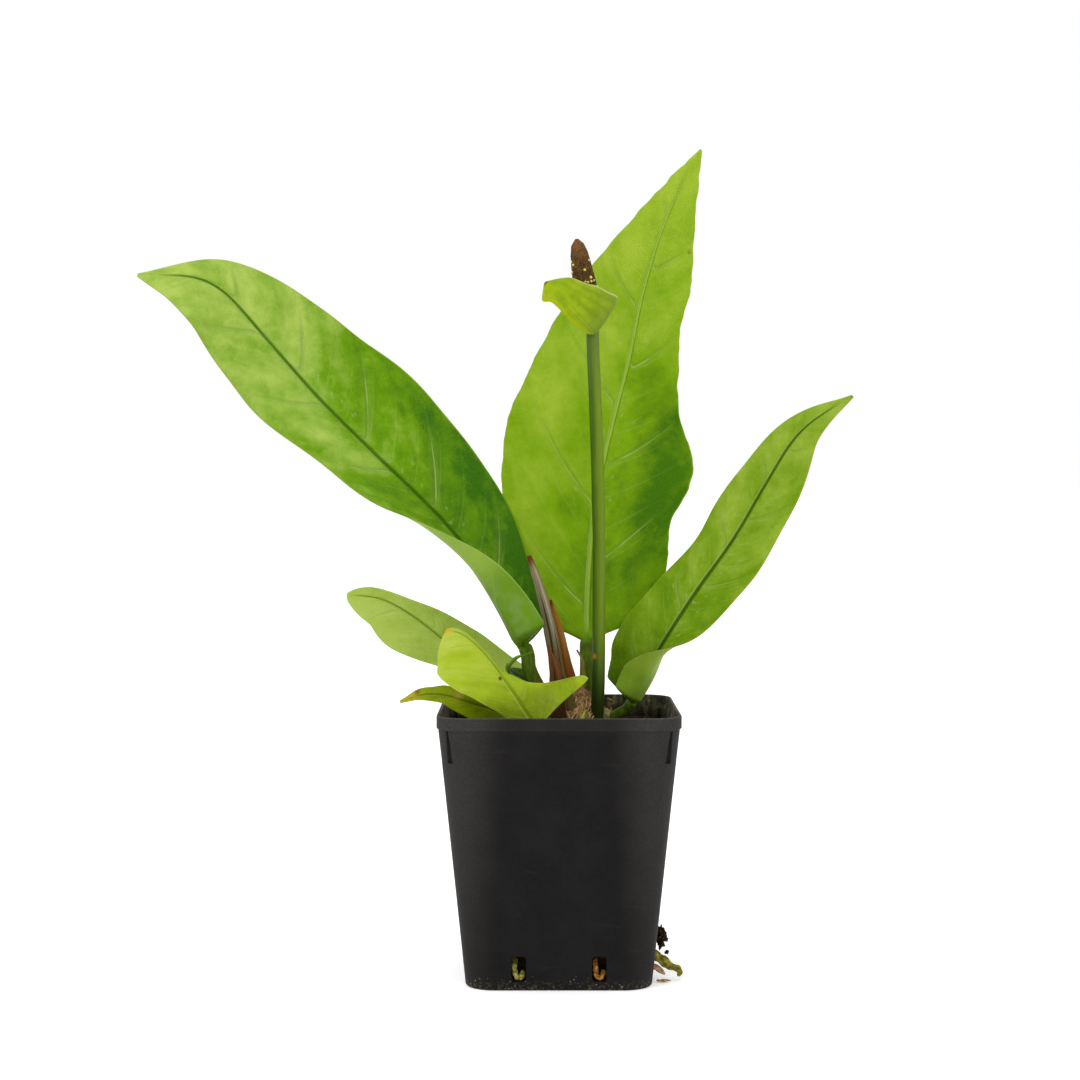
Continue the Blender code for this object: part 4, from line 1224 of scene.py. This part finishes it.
def build_small_leaf():
    """The small curled leaf by the left stalk."""
    finish = leaf_finish("leaf green, small", rgb(48, 84, 2), rgb(70, 110, 6), rgb(120, 156, 30),
                         vein=rgb(140, 174, 50), margin=rgb(120, 156, 24), back=rgb(124, 158, 40),
                         stalk=rgb(60, 90, 10), tone=even_tone, vein_strength=0.2, rib_width=0.5)
    settle(blade(
        "small_leaf", finish,
        stalk=from_crown((-5, 2, 0), (-10, 3, 8)),
        rib=from_crown((-15, 2, 13), (-20, 0, 17), (-25, -4, 20), (-27, -8, 23), (-25, -11, 26),
                       (-22, -13, 28), (-18, -12, 29)),
        face=((0.1, -0.8, 0.5), (0.3, -0.6, 0.6), (0.8, 0.2, 0.4)),
        left=(4, 5, 3.5, 1.6, 1, 0.8, 0.6, 0.4),
        right=(4, 5, 3.5, 1.6, 1, 0.8, 0.6, 0.4),
        radius=PETIOLE * 0.4,
        rows=60, half_columns=10, stalk_rows=10, vein_gap=9, groove=0.2, rough_edge=0.1, seed=20,
    ), "leaf_green", "leaf_small")


def build_flower_stalk():
    """The stalk. It gives back its top."""
    stem = from_crown((6.5, -4, 1.2), (6.8, -5, 6), (7.2, -6, 20), (7.3, -6, 45), (7.3, -6, 70),
                      (6.8, -6, 95), (6.0, -6, 120), (5.1, -6, 140), (4.8, -6, 151))
    settle(tube("flower_stalk", stem_finish(), stem, (PEDUNCLE, PEDUNCLE * 1.02, PEDUNCLE),
                rows=110, sides=36, lumps=0.02, lump_size=9.0), "leaf_green", "peduncle")
    return stem[-1]


GOLDEN_TURN = 2.39996  # radians from each floret to the next on their spiral
FLORETS = 1150


def build_spadix(foot):
    """A tapered core set with florets on a spiral, some of them with pollen on."""
    lean = np.array([-5.9, -0.8, 32.5])
    way = unit(lean)
    start = foot + way * 0.8
    shares = (0.0, 0.1, 0.25, 0.4, 0.55, 0.7, 0.83, 0.93, 1.0)
    radii = [SPADIX * s for s in (0.5, 0.85, 1.0, 1.0, 0.93, 0.84, 0.74, 0.55, 0.12)]
    brown = spadix_finish()
    route = [start + lean * s for s in shares]
    settle(tube("spadix_core", brown, route, [r - 0.35 if r > 1 else r for r in radii], rows=60, sides=32),
           "spadix_brown", "spadix")
    side = unit(np.cross(way, (0, 1, 0)))
    other = np.cross(way, side)
    rng = random.Random(31)
    florets, pollen = [], []
    for k in range(FLORETS):
        s = 0.02 + 0.97 * (k / FLORETS) ** 0.94
        a = k * GOLDEN_TURN
        radius = float(np.interp(s, shares, radii)) - 0.38
        ahead = float(np.interp(min(s + 0.02, 1), shares, radii)) - 0.38
        slope = (radius - ahead) / (0.02 * np.linalg.norm(lean))
        spoke = math.cos(a) * side + math.sin(a) * other
        looks = unit(spoke + way * slope)
        florets.append((start + lean * s + spoke * radius, looks, 0.5 * rng.uniform(0.85, 1.12)))
        if rng.random() < 0.085 and 0.15 < s < 0.78:
            pollen.append((start + lean * s + spoke * (radius + 0.12), looks, rng.uniform(0.42, 0.6)))
    settle(domes("spadix_florets", brown, florets, flatness=0.6, sides=8), "spadix_brown")
    settle(domes("spadix_pollen", pollen_finish(), pollen, flatness=0.8, sides=10), "spadix_brown")


def build_spathe(foot):
    """The hood in front of the spadix's foot."""
    front = foot + (0, -PEDUNCLE - BLADE / 2 - 0.6, -1)
    settle(blade(
        "spathe_hood", spathe_finish(),
        rib=[front + p for p in ((1.2, 0, -1.2), (-3, -2.6, 3.2), (-8, -6.5, 8), (-13, -8.5, 13),
                                 (-18, -8.5, 17))],
        face=((0, -1, -0.1), (0, -1, 0.1)),
        left=(2.5, 3, 3.5, 4, 4, 4, 4.5, 6, 0.5),
        right=(16.5, 17, 15.5, 14, 12, 10.5, 9, 5.5, 0.5),
        lift=((0,), (5,)), curl=((-30,), (-55,)), keel=0.0, rows=80, half_columns=22,
        base=0.12, round_foot=True, vein_gap=6, ripple=0.25, ripple_length=12, rough_edge=0.12, seed=25,
    ), "spathe_lime", "spathe")


def build_sheaths():
    """The four dry sheaths round the stem base, each curled round its own rib."""
    inner = husk_finish("sheath grey straw", rgb(84, 70, 36), rgb(150, 136, 100), rgb(206, 198, 168),
                        tip=rgb(116, 50, 22), slits=1.0, edge=rgb(120, 88, 44), low=rgb(98, 84, 14))
    outer = husk_finish("sheath orange brown", rgb(128, 80, 20), rgb(182, 120, 42), rgb(208, 152, 84),
                        tip=rgb(130, 66, 26), slits=0.4, edge=rgb(222, 168, 100), low=rgb(150, 84, 24))
    short = husk_finish("sheath dark brown", rgb(58, 36, 12), rgb(108, 68, 28), rgb(164, 112, 62),
                        tip=rgb(120, 66, 30), slits=0.8, edge=rgb(170, 112, 60), low=rgb(66, 36, 14))
    thin = husk_finish("sheath olive", rgb(112, 98, 30), rgb(158, 144, 60), rgb(190, 180, 96),
                       tip=rgb(64, 34, 14), slits=0.2, edge=rgb(150, 120, 50), low=rgb(140, 128, 44))
    for name, finish, slot, node, seed, half, rib in (
            ("inner_sheath", inner, "sheath_straw", "sheath_inner", 30, (3.5, 3.4, 3, 2.6, 2.1, 0.8),
             ((-3, -6.5, 7), (-8, -6, 20), (-10.5, -6, 35), (-14.2, -6.5, 50), (-19.2, -6.5, 65))),
            ("outer_sheath", outer, "sheath_orange", "sheath_outer", 33, (3.5, 3.3, 2.6, 1.8, 0.4),
             ((-2, 0.5, 8), (-3.5, 0.5, 16), (-6, 0, 28), (-8, -0.5, 38), (-11, -0.5, 48))),
            ("short_sheath", short, "sheath_dark", "sheath_short", 36, (4, 3.6, 2.8, 0.4),
             ((-8, -9, 4), (-8.5, -9.5, 12), (-9, -10, 22), (-12, -10, 31))),
            ("thin_sheath", thin, "sheath_straw", "sheath_thin", 39, (1, 0.9, 0.7, 0.25),
             ((2, -2, 15), (1.6, -2, 21), (1, -2, 25), (-1, -2, 29)))):
        settle(blade(name, finish, rib=from_crown(*rib), face=((0.1, -1, 0.1),), left=half, right=half,
                     curl=((-60,), (-60,)), thickness=SHEATH, keel=0.0, rows=70, tip=0.25, half_columns=14,
                     rough_edge=0.3, seed=seed), slot, node)


def build_buds():
    """The bud and young shoot at the stem base, and the root curled behind them."""
    blush = root_finish("bud blush", rgb(140, 160, 60), rgb(196, 176, 130), rgb(222, 196, 178), 2.4)
    settle(lump("side_bud", blush, CROWN + (10.1, -1.0, 4.5), (1.7, 1.5, 2.2),
                bumps=0.1, size=2.0, seed=3),
           "leaf_pale", "bud")
    lime = root_finish("shoot lime", rgb(120, 140, 20), rgb(160, 180, 40), rgb(190, 204, 90), 2.0)
    settle(tube("young_shoot", lime, from_crown((0.5, -9.5, 1.0), (1.2, -9.6, 4.0), (2.4, -9.8, 7.0)),
                (1.0, 0.8, 0.15), rows=24, sides=16), "spathe_lime", "shoot")
    tan = root_finish("root tan", rgb(96, 66, 30), rgb(160, 122, 62), rgb(196, 164, 104))
    curl = from_crown((11, 9, 1.2), (12.5, 9, 5), (12, 9, 6.5), (13.5, 9, 8), (11, 9, 9.5))
    settle(tube("curled_root", tan, curl, (0.45, 0.4, 0.25), rows=60, sides=12, lumps=0.3),
           "root_tan", "aerial_root")


ROOT_LEVEL = 8.0  # the height at which the roots pass the wall


def build_slot_roots():
    """The two roots behind the front slots, each a hook given from its slot's foot."""
    green = root_finish("root green", rgb(52, 44, 16), rgb(124, 116, 46), rgb(172, 166, 96), 1.1)
    ochre = root_finish("root ochre", rgb(50, 28, 10), rgb(136, 88, 30), rgb(190, 140, 66), 1.1)
    hook = ((-1.4, -3.4, 8.0), (-1.5, -0.6, 5.5), (-1.0, 0.1, 2.4), (0.3, 0.1, 1.7), (1.2, -0.4, 2.4),
            (1.5, -2.4, 3.2))
    wall = wall_half(ROOT_LEVEL) - WALL
    for name, node, side, radius, finish in (("left_slot_root", "root_slot_left", -1, 1.0, green),
                                             ("right_slot_root", "root_slot_right", 1, 0.95, ochre)):
        x = side * SLOT_SPACING / 2
        route = [(x + a, -(wall + b), SLOT_BOTTOM + c) for a, b, c in hook]
        settle(tube(name, finish, route, (radius,), rows=70, sides=22,
                    lumps=0.4, lump_size=1.5, seed=side + 2), "root_tan", node)


def build_side_roots(mix, bark):
    """The roots out of the right side's slot, and the clod, crumb and scrap beside them."""
    wall = wall_half(ROOT_LEVEL) - WALL
    y = -SLOT_SPACING / 2
    olive = root_finish("root olive", rgb(70, 58, 10), rgb(138, 128, 30), rgb(186, 174, 84), 2.0)
    upper = ((-3.6, 0, 9.4), (2.2, 0, 8.9), (4.1, 0, 7.8), (6.0, -0.5, 5.9), (8.0, -0.7, 4.8),
             (10.3, -1, 3.9), (11.1, -1.2, 2.4), (10.3, -1.2, 1.4))
    settle(tube("upper_root", olive, [(wall + a, y + b, c) for a, b, c in upper],
                (1.9, 2.0, 1.9, 1.7, 1.4, 1.2, 1.1, 0.7), rows=70, sides=24,
                lumps=0.5, lump_size=2.2, seed=6), "leaf_olive", "root_side_upper")
    blush = root_finish("root blush", rgb(140, 96, 60), rgb(190, 150, 112), rgb(216, 186, 156))
    lower = ((-3.6, 0, 5.1), (1.5, 0, 4.6), (3.6, 0, 3.2), (5.6, 0, 1.7))
    settle(tube("lower_root", blush, [(wall + a, y + b, c) for a, b, c in lower], (1.2, 1.2, 1.1, 0.4),
                rows=40, sides=18, lumps=0.25, lump_size=2.0, seed=7), "root_tan", "root_side_lower")
    settle(lump("wall_clod", mix, (wall_half(16) + 2.2, y, 15.8), (2.6, 3.6, 4.6),
                bumps=0.6, size=1.7, seed=4, rings=44, sides=56),
           "potting_mix", "mix_clump")
    settle(lump("loose_crumb", mix, (wall + 6.2, y - 0.4, 10.2), (1.1, 1.1, 0.8),
                bumps=0.4, size=0.8, seed=5),
           "potting_mix", "mix_crumb")
    settle(lump("root_scrap", bark, (wall_half(0) + 4.4, y - 6, 0.75), (3.0, 1.4, 0.6),
                bumps=0.3, size=1.4, seed=6),
           "rhizome_bark", "root_remnant")


build_pot()
potting_mix = mix_finish()
stem_bark = bark_finish()
build_mix(potting_mix)
build_litter(potting_mix)
build_stem_base(stem_bark)
build_stem_fibres(stem_bark)
for build_leaf in (build_tall_leaf, build_left_leaf, build_right_leaf, build_low_leaf, build_front_leaf,
                   build_rim_leaf, build_small_leaf):
    build_leaf()
stalk_top = build_flower_stalk()
build_spadix(stalk_top)
build_spathe(stalk_top)
build_sheaths()
build_buds()
build_slot_roots()
build_side_roots(potting_mix, stem_bark)


# ---------------------------------------------------------------- room, light and camera

FLOOR_HALF = 30  # metres


def build_floor():
    finish = Finish("floor white", roughness=0.6, specular=0.1)
    finish.shader.inputs["Base Color"].default_value = (0.93, 0.93, 0.93, 1)
    finish.shader.inputs["Emission Color"].default_value = (1, 1, 1, 1)
    finish.shader.inputs["Emission Strength"].default_value = 0.3
    mesh = bpy.data.meshes.new("floor")
    corners = [(x * FLOOR_HALF, y * FLOOR_HALF, 0) for x, y in ((-1, -1), (1, -1), (1, 1), (-1, 1))]
    mesh.from_pydata(corners, [], [(0, 1, 2, 3)])
    mesh.materials.append(finish.material)
    set_out("floor", mesh)


def build_lamp(name, spot, target, size, power):
    """A round soft lamp: places and size in metres, power in watts."""
    data = bpy.data.lights.new(name, "AREA")
    data.shape = "DISK"
    data.size = size
    data.energy = power
    lamp = set_out(name, data)
    lamp.location = spot
    lamp.rotation_euler = (Vector(target) - Vector(spot)).to_track_quat("-Z", "Y").to_euler()


def build_studio():
    """An evenly white room with a key lamp, a fill and a top lamp."""
    world = bpy.data.worlds.new("studio")
    bpy.context.scene.world = world
    world.use_nodes = True
    back = world.node_tree.nodes["Background"]
    back.inputs["Color"].default_value = (1.0, 1.0, 1.0, 1.0)
    back.inputs["Strength"].default_value = 1.0
    build_lamp("key", (-0.8, -0.8, 1.2), (0, 0, 0.15), size=0.45, power=7)
    build_lamp("fill", (1.1, -0.5, 0.9), (0, 0, 0.12), size=0.8, power=1.5)
    build_lamp("top", (0.1, 0.5, 1.4), (0, 0, 0.1), size=0.8, power=2.5)
    bpy.context.scene.view_settings.view_transform = "Standard"


CAMERA_PLACE = (-0.007, -0.845, 0.1895)  # metres
CAMERA_DIP = math.radians(1.677)  # how far it looks down
LENS = 74


def build_camera():
    data = bpy.data.cameras.new("camera")
    data.sensor_width = 36
    data.lens = LENS
    data.clip_start = 0.01
    data.clip_end = 100
    camera = set_out("camera", data)
    camera.location = CAMERA_PLACE
    camera.rotation_euler = (math.radians(90) - CAMERA_DIP, 0, 0)
    bpy.context.scene.camera = camera


build_floor()
build_studio()
build_camera()
